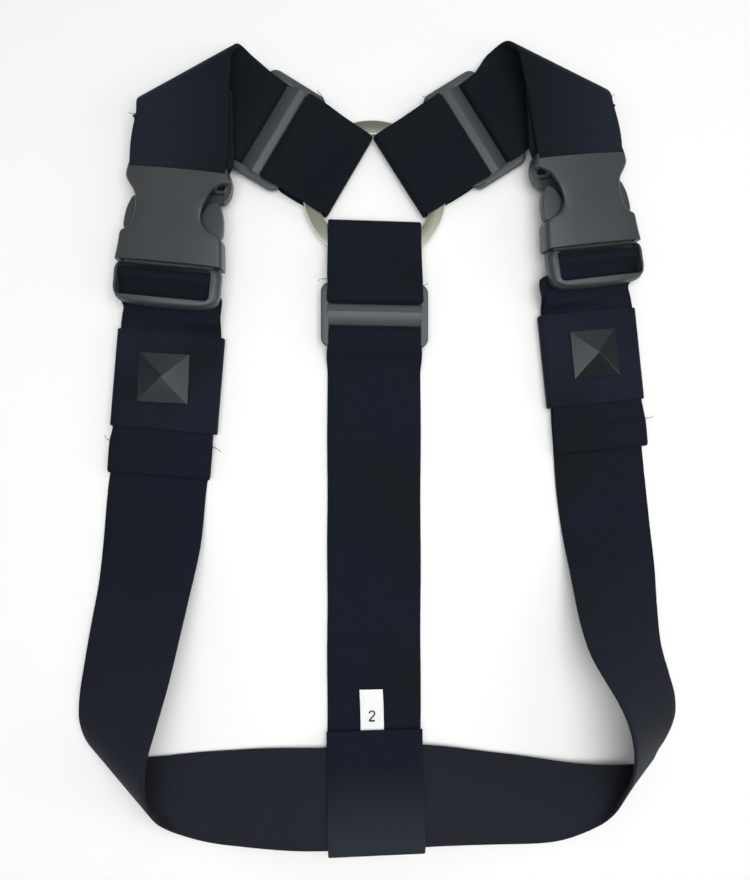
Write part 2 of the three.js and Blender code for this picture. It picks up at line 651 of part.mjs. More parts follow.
function prongs() {
  const low = SOCKET_WALL + PRONG_CLEARANCE;
  const high = BUCKLE_THICK - SOCKET_WALL - PRONG_CLEARANCE;
  const start = SOCKET_LENGTH;
  const foot = start + FRAME_LENGTH;
  const half = MOUTH_HALF_WIDTH;
  const corner = (side) => (row) => [side * row.edge * SOCKET_HALF_WIDTH, row.along * SOCKET_LENGTH];
  const guide = 3;
  const right = PRONG_EDGE.map(corner(1));
  const left = PRONG_EDGE.map(corner(-1)).reverse();
  const shape = outline([
    [half, start - 1.5],
    ...right,
    [guide, 0.86 * start],
    [guide, 0.42 * start],
    [0, 0.36 * start],
    [-guide, 0.42 * start],
    [-guide, 0.86 * start],
    ...left,
    [-half, start - 1.5],
    [-half, start + 0.5],
    [-FRAME_OUTER + 0.6, start + 0.5],
    [-FRAME_OUTER, start + 2.5],
    [-FRAME_OUTER, foot - 5.5],
    [-FRAME_OUTER + 2.5, foot - 2],
    [-FRAME_OUTER + 8, foot - 0.6],
    [0, foot],
    [FRAME_OUTER - 8, foot - 0.6],
    [FRAME_OUTER - 2.5, foot - 2],
    [FRAME_OUTER, foot - 5.5],
    [FRAME_OUTER, start + 2.5],
    [FRAME_OUTER - 0.6, start + 0.5],
    [half, start + 0.5],
  ]);
  const window = block([-FRAME_INNER, start + 2, -1], [FRAME_INNER, foot - FRAME_FOOT, BUCKLE_THICK]);
  const strapRoof = TABLE + GAP + LAYER + STRAP_THICK / 2 + GAP;
  const strapWay = block([-FRAME_INNER, foot - FRAME_FOOT - 1, -1], [FRAME_INNER, foot + 1, strapRoof]);
  const bar = crossBar(
    FRAME_INNER + 0.5, start + FRAME_LENGTH * 0.46, BUCKLE_THICK / 2 - 0.4, MIDDLE_BAR, MIDDLE_BAR_THICK);
  const body = toSolid(plate(shape, low, high, 0.8));
  return fromSolid(body.subtract(toSolid(window)).subtract(toSolid(strapWay)).add(toSolid(bar)));
}

function keeper() {
  const innerHalf = HALF + KEEPERS.left.tailShift + GAP;
  const innerHigh = KEEPER_THICK + 2 * LAYER + GAP;
  const outerHigh = innerHigh + KEEPER_THICK;
  const rounded = (path, half, low, high, radius) => {
    path.moveTo(-half + radius, low);
    path.lineTo(half - radius, low);
    path.quadraticCurveTo(half, low, half, low + radius);
    path.lineTo(half, high - radius);
    path.quadraticCurveTo(half, high, half - radius, high);
    path.lineTo(-half + radius, high);
    path.quadraticCurveTo(-half, high, -half, high - radius);
    path.lineTo(-half, low + radius);
    path.quadraticCurveTo(-half, low, -half + radius, low);
    return path;
  };
  const shape = rounded(new THREE.Shape(), innerHalf + KEEPER_THICK, 0, outerHigh, 2);
  shape.holes.push(rounded(new THREE.Path(), innerHalf, KEEPER_THICK, innerHigh, 0.6));
  const sleeve = new THREE.ExtrudeGeometry(shape, {
    depth: KEEPER_LENGTH, steps: 1, curveSegments: 3, bevelEnabled: false,
  });
  return sleeve.translate(0, 0, -KEEPER_LENGTH / 2).rotateX(Math.PI / 2);
}

function stud() {
  const corner = STUD_SIDE / Math.SQRT2;
  const profile = [
    [0, 0],
    [corner, 0],
    [corner, STUD_BASE],
    [0.4, STUD_BASE + STUD_HEIGHT],
    [0, STUD_BASE + STUD_HEIGHT],
  ].map(([x, y]) => new THREE.Vector2(x, y));
  const geometry = new THREE.LatheGeometry(profile, 4).rotateX(Math.PI / 2).rotateZ(Math.PI / 4);
  return fromSolid(toSolid(geometry));
}

function sizeLabel() {
  const flapEdge = RING_CENTRE.y - SLEEVE.y - SLEEVE.flap;
  const foot = LAYER + LABEL_THICK / 2;
  const frame = frameAt(RING_CENTRE.x, RING_CENTRE.y, 0, BACK.heading, 0);
  const half = LABEL_WIDTH / 2;
  const sections = [
    [flapEdge + LABEL_TUCK, foot],
    [flapEdge - LABEL_LENGTH * 0.3, foot + 0.2],
    [flapEdge - LABEL_LENGTH * 0.6, foot + 0.6],
    [flapEdge + LABEL_TUCK - LABEL_LENGTH, foot + 0.3],
  ].map(([along, height]) => ({
    a: new THREE.Vector3(LABEL_SHIFT + half, along, height).applyMatrix4(frame),
    b: new THREE.Vector3(LABEL_SHIFT - half, along, height).applyMatrix4(frame),
  }));
  return ribbon(sections, LABEL_THICK);
}

const corrector = new THREE.Group();

function addMesh(name, geometry, material, frame) {
  const mesh = new THREE.Mesh(geometry, material);
  mesh.name = name;
  if (frame) {
    frame.decompose(mesh.position, mesh.quaternion, mesh.scale);
  }
  corrector.add(mesh);
}

addMesh("steel_ring", ring(), STEEL, frameAt(RING_CENTRE.x, RING_CENTRE.y, 0, 90));
addMesh("back_strap", backStrap(), WEBBING);
addMesh("lower_strap", lowerStrap(), WEBBING);
addMesh("size_label", sizeLabel(), SATIN);
for (const [name, place] of Object.entries({ ...SHOULDERS, back: BACK })) {
  const seat = frameAt(RING_CENTRE.x, RING_CENTRE.y, 0, place.heading);
  addMesh("slider_" + name, slider(), PLASTIC, seat.multiply(new THREE.Matrix4().makeTranslation(0, place.slider, 0)));
}
for (const side of ["left", "right"]) {
  const outward = side === "left" ? 1 : -1;
  const held = KEEPERS[side];
  const keeperTop = 2 * KEEPER_THICK + 2 * LAYER + GAP;
  addMesh("shoulder_strap_" + side, shoulderStrap(side), WEBBING);
  addMesh("buckle_socket_" + side, socket(outward), PLASTIC, buckleFrame(BUCKLES[side]));
  addMesh("buckle_prongs_" + side, prongs(), PLASTIC, buckleFrame(BUCKLES[side]));
  addMesh("keeper_" + side, keeper(), WEBBING, frameAt(held.x, held.y, 0, held.heading));
  addMesh("stud_" + side, stud(), STUD_PLASTIC, frameAt(held.stud.x, held.stud.y, keeperTop + GAP, held.stud.heading));
}

// The origin goes to the middle of the underside of the laid-out corrector.
const bounds = new THREE.Box3().setFromObject(corrector, true);
const centre = bounds.getCenter(new THREE.Vector3());
corrector.position.set(-centre.x, -centre.y, -bounds.min.z);

export default corrector;
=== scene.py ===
"""A posture corrector laid flat on a pale table.

Three lengths of webbing meet on a steel ring: two shoulder straps and a back strap, each with a
moulded slider. The lower strap runs from one side-release buckle round the waist to the other,
through the sleeve at the end of the back strap. Lengths are millimetres on the harness's own
layout until a mesh is made; the meshes are in metres.
"""

from __future__ import annotations

import logging
import math
import random
from dataclasses import dataclass, field
from enum import Enum
from typing import Sequence

import bmesh
import bpy
from mathutils import Matrix, Vector

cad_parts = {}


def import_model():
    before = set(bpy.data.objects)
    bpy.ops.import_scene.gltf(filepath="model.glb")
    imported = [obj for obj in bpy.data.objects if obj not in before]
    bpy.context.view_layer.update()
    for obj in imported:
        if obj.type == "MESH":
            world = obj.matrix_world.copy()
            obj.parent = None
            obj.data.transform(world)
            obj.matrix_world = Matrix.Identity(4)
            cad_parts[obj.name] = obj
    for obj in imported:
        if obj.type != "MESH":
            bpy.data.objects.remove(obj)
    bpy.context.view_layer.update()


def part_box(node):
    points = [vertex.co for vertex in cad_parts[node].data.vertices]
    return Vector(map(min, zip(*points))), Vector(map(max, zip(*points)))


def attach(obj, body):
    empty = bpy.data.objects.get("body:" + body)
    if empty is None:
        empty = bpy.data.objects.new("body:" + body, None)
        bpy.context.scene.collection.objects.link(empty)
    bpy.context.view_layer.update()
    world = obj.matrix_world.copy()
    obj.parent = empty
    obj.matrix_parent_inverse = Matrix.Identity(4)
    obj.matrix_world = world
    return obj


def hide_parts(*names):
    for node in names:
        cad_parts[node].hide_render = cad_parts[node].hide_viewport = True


LOG = logging.getLogger("posture_corrector")
MM = 0.001
BODY = "root"
UV_NAME = "weave"
THREAD_SIDES = 6

Point = tuple[float, float]
Colour = tuple[float, float, float]
Place = tuple[float, float, float]
Step = tuple[float, ...]
Section = tuple[Vector, Vector]

# Webbing
STRAP_WIDTH = 49.0
STRAP_THICK = 1.6
HALF = STRAP_WIDTH / 2
GAP = 0.3
LAYER = STRAP_THICK + GAP
TABLE = STRAP_THICK / 2
BUCKLE_SHARE = 0.97

# The ring, the sliders' bars and the keepers, which the straps' ways follow
RING_BAND = 7.4
RING_THICK = 2.5
SLIDER_BARS = 32.0
END_BAR = 4.0
END_BAR_THICK = 2.6
END_BAR_AT = (SLIDER_BARS - END_BAR) / 2
RIDGE_BAR = 10.7
SLOT_SHARE = 0.95
KEEPER_LENGTH = 49.0
KEEPER_THICK = 1.2

# How far the laid-out harness reaches, the units of the two tables below
HALF_SPREAD = 157.0
REACH = 427.0

RING_CENTRE = Vector((-1.0, 153.5, 0.0))


class Side(Enum):
    """The two sides of the harness, as the camera sees them; the value is the outward sign."""

    LEFT = 1
    RIGHT = -1

    @property
    def word(self) -> str:
        """The side's name as the nodes spell it."""
        return self.name.lower()


class Hold(Enum):
    """How a length of cloth is held, in the frame's words."""

    LAID = "laid"
    FOLDED = "folded"


class Slot(Enum):
    """The record's material slots."""

    WEBBING = "webbing"
    PLASTIC = "plastic"
    STUD = "stud"
    STEEL = "steel"
    LABEL = "label"


@dataclass(frozen=True)
class ShoulderPlace:
    """Where one shoulder strap lies on the table."""

    heading: float
    slider: float
    ridge: float
    drift: float
    ridge_heading: float
    share: float
    roll: float = 6.0


@dataclass(frozen=True)
class BucklePlace:
    """Where one buckle lies, how far it leans, and how far the strap below it is off centre.

    The strap's rear layer bulges further towards the middle of the harness.
    """

    x: float
    y: float
    heading: float
    tilt: float
    strap_shift: float
    bulge: float


@dataclass(frozen=True)
class KeeperPlace:
    """Where one keeper lies, with its stud and the strap's tail that it holds."""

    x: float
    y: float
    heading: float
    tail: float
    stud_x: float
    stud_y: float
    stud_heading: float
    tail_shift: float = 0.6


@dataclass(frozen=True)
class SideRow:
    """One cross-section of the lower strap: middle, rise, plan turn, bank and width share."""

    x: float
    y: float
    rise: float
    turn: float
    bank: float
    width: float

    def section(self) -> Section:
        """Gives the outer and the inner edge point of this cross-section.

        Returns:
            The two edge points, in layout millimetres.
        """
        middle = Vector((self.x * HALF_SPREAD, self.y * REACH, self.rise * STRAP_WIDTH))
        reach = HALF * self.width
        level = reach * math.cos(math.radians(self.bank))
        turn = math.radians(self.turn)
        rise = reach * math.sin(math.radians(self.bank))
        across = Vector((level * math.cos(turn), level * math.sin(turn), rise))
        return middle - across, middle + across


SHOULDERS = {
    Side.LEFT: ShoulderPlace(150.2, 59.9, 101.7, 2.6, 31.5, 0.965),
    Side.RIGHT: ShoulderPlace(33.2, 62.9, 108.7, -6.2, -23.5, 0.925),
}
BUCKLES = {
    Side.LEFT: BucklePlace(-98.8, 157, 264.1, 7, 2, 0.5),
    Side.RIGHT: BucklePlace(105, 172.4, 279.3, -7, 4.5, 1.7),
}
KEEPERS = {
    Side.LEFT: KeeperPlace(-106.1, 53.8, 265.4, 47.4, -107.8, 55.2, 267.5),
    Side.RIGHT: KeeperPlace(114.9, 69.4, 276.1, 48.9, 115.8, 71.3, 276),
}
BACK_HEADING = 270.0
BACK_SLIDER = 64.0
LEFT_ROWS = [SideRow(*row) for row in (
    (-0.712, 0.0, 0.017, -5, 0, 1.0), (-0.726, -0.062, 0.06, -6, 5, 1.0),
    (-0.748, -0.119, 0.135, -8, 13, 0.99), (-0.773, -0.169, 0.195, -12, 18, 0.99),
    (-0.797, -0.215, 0.25, -15, 22, 0.99), (-0.82, -0.257, 0.3, -19, 26, 0.98),
    (-0.831, -0.285, 0.33, -23, 30, 0.97), (-0.832, -0.307, 0.31, -31, 29, 0.96),
    (-0.823, -0.33, 0.24, -40, 23, 0.97), (-0.801, -0.348, 0.15, -46, 13, 0.99),
    (-0.764, -0.36, 0.085, -49, 6, 1.03), (-0.706, -0.368, 0.048, -53, 3, 1.05),
    (-0.621, -0.372, 0.045, -59, 2, 1.06), (-0.511, -0.372, 0.064, -67, 5, 1.05),
    (-0.35, -0.371, 0.12, -78, 10, 1.03),
)]
RIGHT_ROWS = [SideRow(*row) for row in (
    (0.772, 0.007, 0.017, -176, 0, 1.01), (0.789, -0.047, 0.03, -174, 0, 1.0),
    (0.803, -0.099, 0.1, -173, 6, 1.0), (0.817, -0.159, 0.19, -175, 15, 1.0),
    (0.835, -0.199, 0.25, -179, 22, 1.01), (0.866, -0.231, 0.3, -183, 27, 1.01),
    (0.893, -0.257, 0.33, -187, 31, 1.01), (0.903, -0.28, 0.37, -190, 37, 1.01),
    (0.893, -0.304, 0.41, -193, 45, 0.98), (0.88, -0.323, 0.41, -189, 50, 0.9),
    (0.873, -0.341, 0.36, -177, 49, 0.77), (0.865, -0.356, 0.28, -155, 38, 0.66),
    (0.843, -0.371, 0.2, -133, 20, 0.65), (0.799, -0.381, 0.145, -118, 7, 0.7),
    (0.734, -0.388, 0.1, -108, 0, 0.78), (0.632, -0.391, 0.07, -101, 0, 0.87),
    (0.408, -0.383, 0.085, -95, 6, 0.95),
)]


def frame_at(x: float, y: float, z: float, heading: float, tilt: float = 0.0) -> Matrix:
    """Makes a local frame on the table: x across, y along the heading, z up.

    Args:
        x: Origin across the table, in mm.
        y: Origin along the table, in mm.
        z: Origin's height, in mm.
        heading: Degrees from +X to the frame's y axis.
        tilt: Degrees of roll about the frame's y axis.

    Returns:
        The frame's matrix.
    """
    turn = Matrix.Rotation(math.radians(heading - 90), 4, "Z")
    return Matrix.Translation((x, y, z)) @ turn @ Matrix.Rotation(math.radians(tilt), 4, "Y")


def run(frame: Matrix, steps: Sequence[Step], sign: int, shift: float = 0.0) -> list[Section]:
    """Lays straight cross-sections of webbing along a frame.

    Args:
        frame: The local frame.
        steps: Each step's place along, height and, where it isn't 1, share of the width.
        sign: Which edge comes first.
        shift: How far the strip lies off the frame's middle line, in mm.

    Returns:
        The cross-sections, in layout millimetres.
    """
    sections = []
    for along, height, *share in steps:
        half = HALF * (share[0] if share else 1.0)
        first = frame @ Vector((sign * (half + shift), along, height))
        second = frame @ Vector((sign * (shift - half), along, height))
        sections.append((first, second))
    return sections


def spline_weights(knots: Sequence[float], t: float) -> list[float]:
    """Weighs four points on a centripetal Catmull-Rom curve between the middle two.

    Args:
        knots: The four points' knots, rising.
        t: A parameter from the second knot to the third.

    Returns:
        One weight per point.
    """
    weights = []
    for unit in range(4):
        level = [float(unit == i) for i in range(4)]
        for starts, ends in (((0, 1, 2), (1, 2, 3)), ((0, 1), (2, 3)), ((1,), (2,))):
            level = [
                (level[i] * (knots[end] - t) + level[i + 1] * (t - knots[start]))
                / (knots[end] - knots[start])
                for i, (start, end) in enumerate(zip(starts, ends))
            ]
        weights.append(level[0])
    return weights


def smooth_sections(sections: Sequence[Section], longest: float, fewest: int = 2) -> list[Section]:
    """Threads smooth curves through both edges of a strip.

    Args:
        sections: The strip's cross-sections.
        longest: The longest step between the new cross-sections, in mm.
        fewest: The least number of steps between two old ones.

    Returns:
        The finer list of cross-sections.
    """
    gaps = [max((a1 - a0).length, (b1 - b0).length, 0.05)
            for (a0, b0), (a1, b1) in zip(sections, sections[1:])]
    knots = [0.0]
    for gap in gaps:
        knots.append(knots[-1] + math.sqrt(gap))
    last = len(sections) - 1
    finer = []
    for i in range(last):
        before = knots[i] - (knots[i + 1] - knots[i]) if i == 0 else knots[i - 1]
        after = 2 * knots[i + 1] - knots[i] if i + 2 > last else knots[i + 2]
        four = (before, knots[i], knots[i + 1], after)
        near = [sections[max(i - 1, 0)], sections[i], sections[i + 1], sections[min(i + 2, last)]]
        steps = max(fewest, math.ceil(gaps[i] / longest))
        for step in range(steps):
            weights = spline_weights(four, knots[i] + (knots[i + 1] - knots[i]) * step / steps)
            first, second = (
                sum((weight * pair[edge] for weight, pair in zip(weights, near)), Vector())
                for edge in (0, 1)
            )
            finer.append((first, second))
    finer.append(sections[-1])
    return finer


def settled(sections: Sequence[Section], lowest: float = TABLE) -> list[Section]:
    """Lifts what would sink into the table.

    Args:
        sections: A strip's cross-sections.
        lowest: The least height of the strip's middle.

    Returns:
        The cross-sections, none of them lower.
    """
    return [tuple(Vector((p.x, p.y, max(p.z, lowest))) for p in pair) for pair in sections]


def smooth_line(points: Sequence[Point], steps: int) -> list[Point]:
    """Threads a smooth open curve through points in a plane.

    Args:
        points: The points.
        steps: How many steps go between two of them.

    Returns:
        The finer list of points.
    """
    flat = [Vector((x, y, 0.0)) for x, y in points]
    pairs = smooth_sections([(p, p) for p in flat], 1e6, steps)
    return [(a.x, a.y) for a, _ in pairs]


def toward(degrees: float) -> Vector:
    """Gives the level direction at an angle from +X."""
    turn = math.radians(degrees)
    return Vector((math.cos(turn), math.sin(turn), 0))


def hoop(mesh: bmesh.types.BMesh, centre: Vector, side: Vector, up: Vector,
         radius: float) -> list[bmesh.types.BMVert]:
    """Adds a ring of corners round a thread.

    Args:
        mesh: The mesh that takes the corners.
        centre: The ring's middle.
        side: A direction in the ring's plane.
        up: The one square to it.
        radius: The ring's radius, in mm.

    Returns:
        The corners in order.
    """
    ring = []
    for k in range(THREAD_SIDES):
        angle = math.tau * k / THREAD_SIDES
        ring.append(mesh.verts.new(centre + (side * math.cos(angle) + up * math.sin(angle)) * radius))
    return ring


def loft(mesh: bmesh.types.BMesh, rings: Sequence[Sequence[bmesh.types.BMVert]],
         closed: bool = False) -> None:
    """Joins rings of corners one after another, with a cap at each end.

    Args:
        mesh: The mesh that the corners are in.
        rings: The rings, with as many corners each.
        closed: Whether the last ring meets the first, with no caps.
    """
    after = [*rings[1:], rings[0]] if closed else rings[1:]
    for near, far in zip(rings, after):
        for k, corner in enumerate(near):
            beside = (k + 1) % len(near)
            mesh.faces.new((corner, near[beside], far[beside], far[k]))
    if not closed:
        mesh.faces.new(rings[0][::-1])
        mesh.faces.new(rings[-1])


@dataclass
class Bench:
    """Turns layout millimetres into the row's metres, and puts finished pieces on the body."""

    offset: Vector = field(default_factory=Vector)
    count: int = 0

    @classmethod
    def from_ring(cls, foot: float) -> Bench:
        """Finds the layout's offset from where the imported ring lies.

        Args:
            foot: The ring's underside on the layout, in mm.

        Returns:
            A bench for this frame.
        """
        low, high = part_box("steel_ring")
        middle = (low + high) / 2
        offset = Vector((middle.x, middle.y, low.z)) - MM * (RING_CENTRE + Vector((0, 0, foot)))
        return cls(offset=offset)

    def place(self, point: Vector) -> Vector:
        """Gives a layout point in the row frame."""
        return point * MM + self.offset

    def piece(self, name: str, mesh: bmesh.types.BMesh, material: bpy.types.Material,
              slot: Slot, frame: Matrix | None = None, smooth_under: float = 40.0,
              stands_for: str = "") -> bpy.types.Object:
        """Makes an object of a mesh that was built in layout millimetres.

        Args:
            name: The piece's name.
            mesh: The mesh; it is freed.
            material: The piece's material.
            slot: The record's slot for the piece; not used.
            frame: The local frame that the mesh was built in, if it wasn't the layout.
            smooth_under: Edges under this many degrees are shaded smooth.
            stands_for: The CAD node that it replaces, if any.

        Returns:
            The linked object, riding on the body.
        """
        if frame is not None:
            mesh.transform(frame)
        mesh.transform(Matrix.Translation(self.offset) @ Matrix.Scale(MM, 4))
        bmesh.ops.recalc_face_normals(mesh, faces=mesh.faces)
        limit = math.radians(smooth_under)
        for face in mesh.faces:
            face.smooth = True
        for edge in mesh.edges:
            edge.smooth = edge.is_manifold and edge.calc_face_angle(0.0) < limit
        data = bpy.data.meshes.new(name)
        mesh.to_mesh(data)
        mesh.free()
        data.materials.append(material)
        piece = bpy.data.objects.new(name, data)
        bpy.context.scene.collection.objects.link(piece)
        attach(piece, BODY)
        if stands_for:
            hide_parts(stands_for)
        self.count += 1
        LOG.info("%s: %d faces", name, len(data.polygons))
        return piece


@dataclass
class Strip:
    """A strip of webbing with rounded selvedges, threaded through its cross-sections."""

    sections: list[Section]
    thick: float = STRAP_THICK
    across: int = 12
    waver: float = 0.12
    seed: int = 1

    def __post_init__(self) -> None:
        """Measures the strip's length and its frame at each cross-section."""
        self.runs = [0.0]
        for (a0, b0), (a1, b1) in zip(self.sections, self.sections[1:]):
            self.runs.append(self.runs[-1] + ((a1 + b1 - a0 - b0) / 2).length)
        self.length = self.runs[-1]

    def tangent(self, i: int, share: float) -> Vector:
        """Gives the direction along the strip.

        Args:
            i: The cross-section's number.
            share: How far across the strip, from 0 to 1.

        Returns:
            The direction there.
        """
        low, high = max(i - 1, 0), min(i + 1, len(self.sections) - 1)
        (a0, b0), (a1, b1) = self.sections[low], self.sections[high]
        return (a1.lerp(b1, share) - a0.lerp(b0, share)).normalized()

    def normal(self, i: int, share: float) -> Vector:
        """Gives the face's normal at a cross-section, at a share of its width."""
        a, b = self.sections[i]
        return self.tangent(i, share).cross((b - a).normalized()).normalized()

    def spot(self, run_mm: float, share: float) -> tuple[Vector, Vector]:
        """Finds a place on the strip's upper face.

        Args:
            run_mm: How far along the strip, in mm.
            share: How far across it, from 0 to 1.

        Returns:
            The point and the face's normal.
        """
        i = min(range(len(self.runs)), key=lambda k: abs(self.runs[k] - run_mm))
        a, b = self.sections[i]
        normal = self.normal(i, share)
        if self.normal(i, 0.5).z < 0:
            normal.negate()
        return a.lerp(b, share) + normal * (self.thick / 2), normal

    def seam(self, run_mm: float, margin: float, count: int) -> bmesh.types.BMesh:
        """Sews a row of stitches across the strip's upper face.

        Args:
            run_mm: Where the row lies along the strip, in mm.
            margin: The share of the width that is left at each edge.
            count: How many stitches.

        Returns:
            The row's mesh.
        """
        spots = [self.spot(run_mm, margin + (1 - 2 * margin) * k / (count - 1))
                 for k in range(count)]
        return stitches([point for point, _ in spots], [normal for _, normal in spots])

    def profile(self, width: float) -> list[Point]:
        """Lists the strip's closed cross-section as distances across and out of the middle.

        Args:
            width: The strip's width here, in mm.

        Returns:
            Pairs of distance from the first edge and height over the middle, in mm.
        """
        edge = self.thick / 2
        flat = width - 2 * edge
        top = [(edge + flat * k / self.across, edge) for k in range(self.across + 1)]
        far = [math.radians(90 - 45 * k) for k in (1, 2, 3)]
        turn = [(width - edge + edge * math.cos(angle), edge * math.sin(angle)) for angle in far]
        under = [(x, -y) for x, y in reversed(top)]
        back = [(width - x, y) for x, y in reversed(turn)]
        return top + turn + under + back

    def mesh(self) -> bmesh.types.BMesh:
        """Builds the closed strip with its weave coordinates.

        Returns:
            The mesh, in layout millimetres.
        """
        rng = random.Random(self.seed)
        phases = [rng.uniform(0, math.tau) for _ in range(2)]
        built = bmesh.new()
        layer = built.loops.layers.uv.new(UV_NAME)
        weave: dict[bmesh.types.BMVert, Point] = {}
        rings = []
        for i, (a, b) in enumerate(self.sections):
            along = self.runs[i]
            unit = (b - a).normalized()
            first = a + unit * (self.waver * math.sin(along / 9.0 + phases[0]))
            second = b + unit * (self.waver * math.sin(along / 11.0 + phases[1]))
            width = (second - first).length
            ring = []
            for across, out in self.profile(width):
                share = min(max(across / width, 0.0), 1.0)
                corner = built.verts.new(first + unit * across + self.normal(i, share) * out)
                weave[corner] = (across * MM, along * MM)
                ring.append(corner)
            rings.append(ring)
        loft(built, rings)
        for face in built.faces:
            if len(face.verts) == 4:
                for loop in face.loops:
                    loop[layer].uv = weave[loop.vert]
        return built


def stitches(points: Sequence[Vector], normals: Sequence[Vector], length: float = 2.2,
             radius: float = 0.28) -> bmesh.types.BMesh:
    """Builds a row of sewn stitches, one small bead of thread at each point.

    Args:
        points: The stitches' middles.
        normals: The cloth's normal at each.
        length: A stitch's length, in mm.
        radius: The thread's radius, in mm.

    Returns:
        The mesh of all the stitches.
    """
    built = bmesh.new()
    shape = [(-0.5, 0.3), (-0.36, 0.85), (0.0, 1.0), (0.36, 0.85), (0.5, 0.3)]
    for i, (point, normal) in enumerate(zip(points, normals)):
        nearest = points[i + 1] - point if i + 1 < len(points) else point - points[i - 1]
        along = nearest.normalized()
        side = along.cross(normal).normalized()
        rings = []
        for share, swell in shape:
            rise = radius * (0.15 - 0.35 * (abs(share) * 2) ** 2)
            centre = point + along * (length * share) + normal * rise
            rings.append(hoop(built, centre, side, normal, radius * swell))
        loft(built, rings)
    return built


def tube(points: Sequence[Vector], radius: float) -> bmesh.types.BMesh:
    """Builds a thin closed tube along a few points, thinner towards its end.

    Args:
        points: The tube's middle line.
        radius: Its radius at the start, in mm.

    Returns:
        The mesh.
    """
    line = [a for a, _ in smooth_sections([(p, p) for p in points], 0.5)]
    last = len(line) - 1
    built = bmesh.new()
    rings = []
    for i, point in enumerate(line):
        ahead = line[min(i + 1, last)] - line[max(i - 1, 0)]
        turn = ahead.to_track_quat("Z", "Y").to_matrix()
        thin = radius * (1 - 0.45 * i / last)
        rings.append(hoop(built, point, turn.col[0], turn.col[1], thin))
    loft(built, rings)
    return built


def merge(meshes: Sequence[bmesh.types.BMesh]) -> bmesh.types.BMesh:
    """Puts several meshes into one, and frees them.

    Args:
        meshes: The meshes.

    Returns:
        One mesh that holds them all.
    """
    whole = bmesh.new()
    for part in meshes:
        held = bpy.data.meshes.new("part")
        part.to_mesh(held)
        whole.from_mesh(held)
        part.free()
        bpy.data.meshes.remove(held)
    return whole


def rounded_rectangle(low: Point, high: Point, corner: float, steps: int = 6) -> list[Point]:
    """Lists the outline of a rectangle with round corners, anticlockwise.

    Args:
        low: Its corner at the low end of both axes.
        high: The opposite corner.
        corner: The corners' radius.
        steps: How many steps each corner takes.

    Returns:
        The outline.
    """
    left, near = low[0] + corner, low[1] + corner
    right, far = high[0] - corner, high[1] - corner
    outline = []
    for x, y, start in ((right, far, 0), (left, far, 90), (left, near, 180), (right, near, 270)):
        for k in range(steps + 1):
            angle = math.radians(start + 90 * k / steps)
            outline.append((x + corner * math.cos(angle), y + corner * math.sin(angle)))
    return outline


def evaluated(holder: bpy.types.Object) -> bmesh.types.BMesh:
    """Reads an object's mesh as its modifiers or its curve's bevel make it.

    Args:
        holder: The object.

    Returns:
        The mesh, its doubled corners merged.
    """
    bpy.context.view_layer.update()
    graph = bpy.context.evaluated_depsgraph_get()
    data = bpy.data.meshes.new_from_object(holder.evaluated_get(graph))
    made = bmesh.new()
    made.from_mesh(data)
    bmesh.ops.remove_doubles(made, verts=made.verts, dist=1e-3)
    bpy.data.meshes.remove(data)
    return made


def plate(outlines: Sequence[Sequence[Point]], low: float, high: float,
          edge: float) -> bmesh.types.BMesh:
    """Builds a moulded plate with rounded edges; outlines inside others are holes.

    Args:
        outlines: Closed outlines, in mm.
        low: The plate's underside.
        high: Its top.
        edge: The radius of its edges.

    Returns:
        The closed mesh.
    """
    curve = bpy.data.curves.new("outline", "CURVE")
    curve.dimensions = "2D"
    curve.fill_mode = "BOTH"
    curve.extrude = (high - low) / 2 - edge
    curve.bevel_depth = edge
    curve.bevel_resolution = 3
    curve.offset = -edge
    for outline in outlines:
        spline = curve.splines.new("POLY")
        spline.points.add(len(outline) - 1)
        for point, (x, y) in zip(spline.points, outline):
            point.co = (x, y, 0, 1)
        spline.use_cyclic_u = True
    holder = bpy.data.objects.new("outline", curve)
    bpy.context.scene.collection.objects.link(holder)
    built = evaluated(holder)
    bmesh.ops.recalc_face_normals(built, faces=built.faces)
    bmesh.ops.translate(built, verts=built.verts, vec=(0, 0, (high + low) / 2))
    bpy.data.objects.remove(holder)
    bpy.data.curves.remove(curve)
    return built


def block(low: Place, high: Place) -> bmesh.types.BMesh:
    """Builds a box, as a cutting tool.

    Args:
        low: Its lowest corner.
        high: Its highest corner.

    Returns:
        The closed mesh.
    """
    start, end = Vector(low), Vector(high)
    built = bmesh.new()
    bmesh.ops.create_cube(built, size=1.0)
    bmesh.ops.scale(built, verts=built.verts, vec=end - start)
    bmesh.ops.translate(built, verts=built.verts, vec=(start + end) / 2)
    return built


def prism(profile: Sequence[Point], half_length: float) -> bmesh.types.BMesh:
    """Builds a bar that runs along x, from its section in y and z.

    Args:
        profile: The section's corners, anticlockwise seen from +x.
        half_length: Half of the bar's length.

    Returns:
        The closed mesh.
    """
    built = bmesh.new()
    ends = [[built.verts.new((x, y, z)) for y, z in profile] for x in (-half_length, half_length)]
    loft(built, ends)
    return built


def bar(half_length: float, along: float, height: float, size: float, thick: float,
        sides: int = 24) -> bmesh.types.BMesh:
    """Builds a round or oval bar that runs along x.

    Args:
        half_length: Half of its length.
        along: Where its middle lies along y.
        height: Its middle's height.
        size: Its size along y.
        thick: Its size along z.
        sides: How many sides it has.

    Returns:
        The closed mesh.
    """
    profile = []
    for k in range(sides):
        angle = math.tau * k / sides
        profile.append((along + size / 2 * math.cos(angle), height + thick / 2 * math.sin(angle)))
    return prism(profile, half_length)


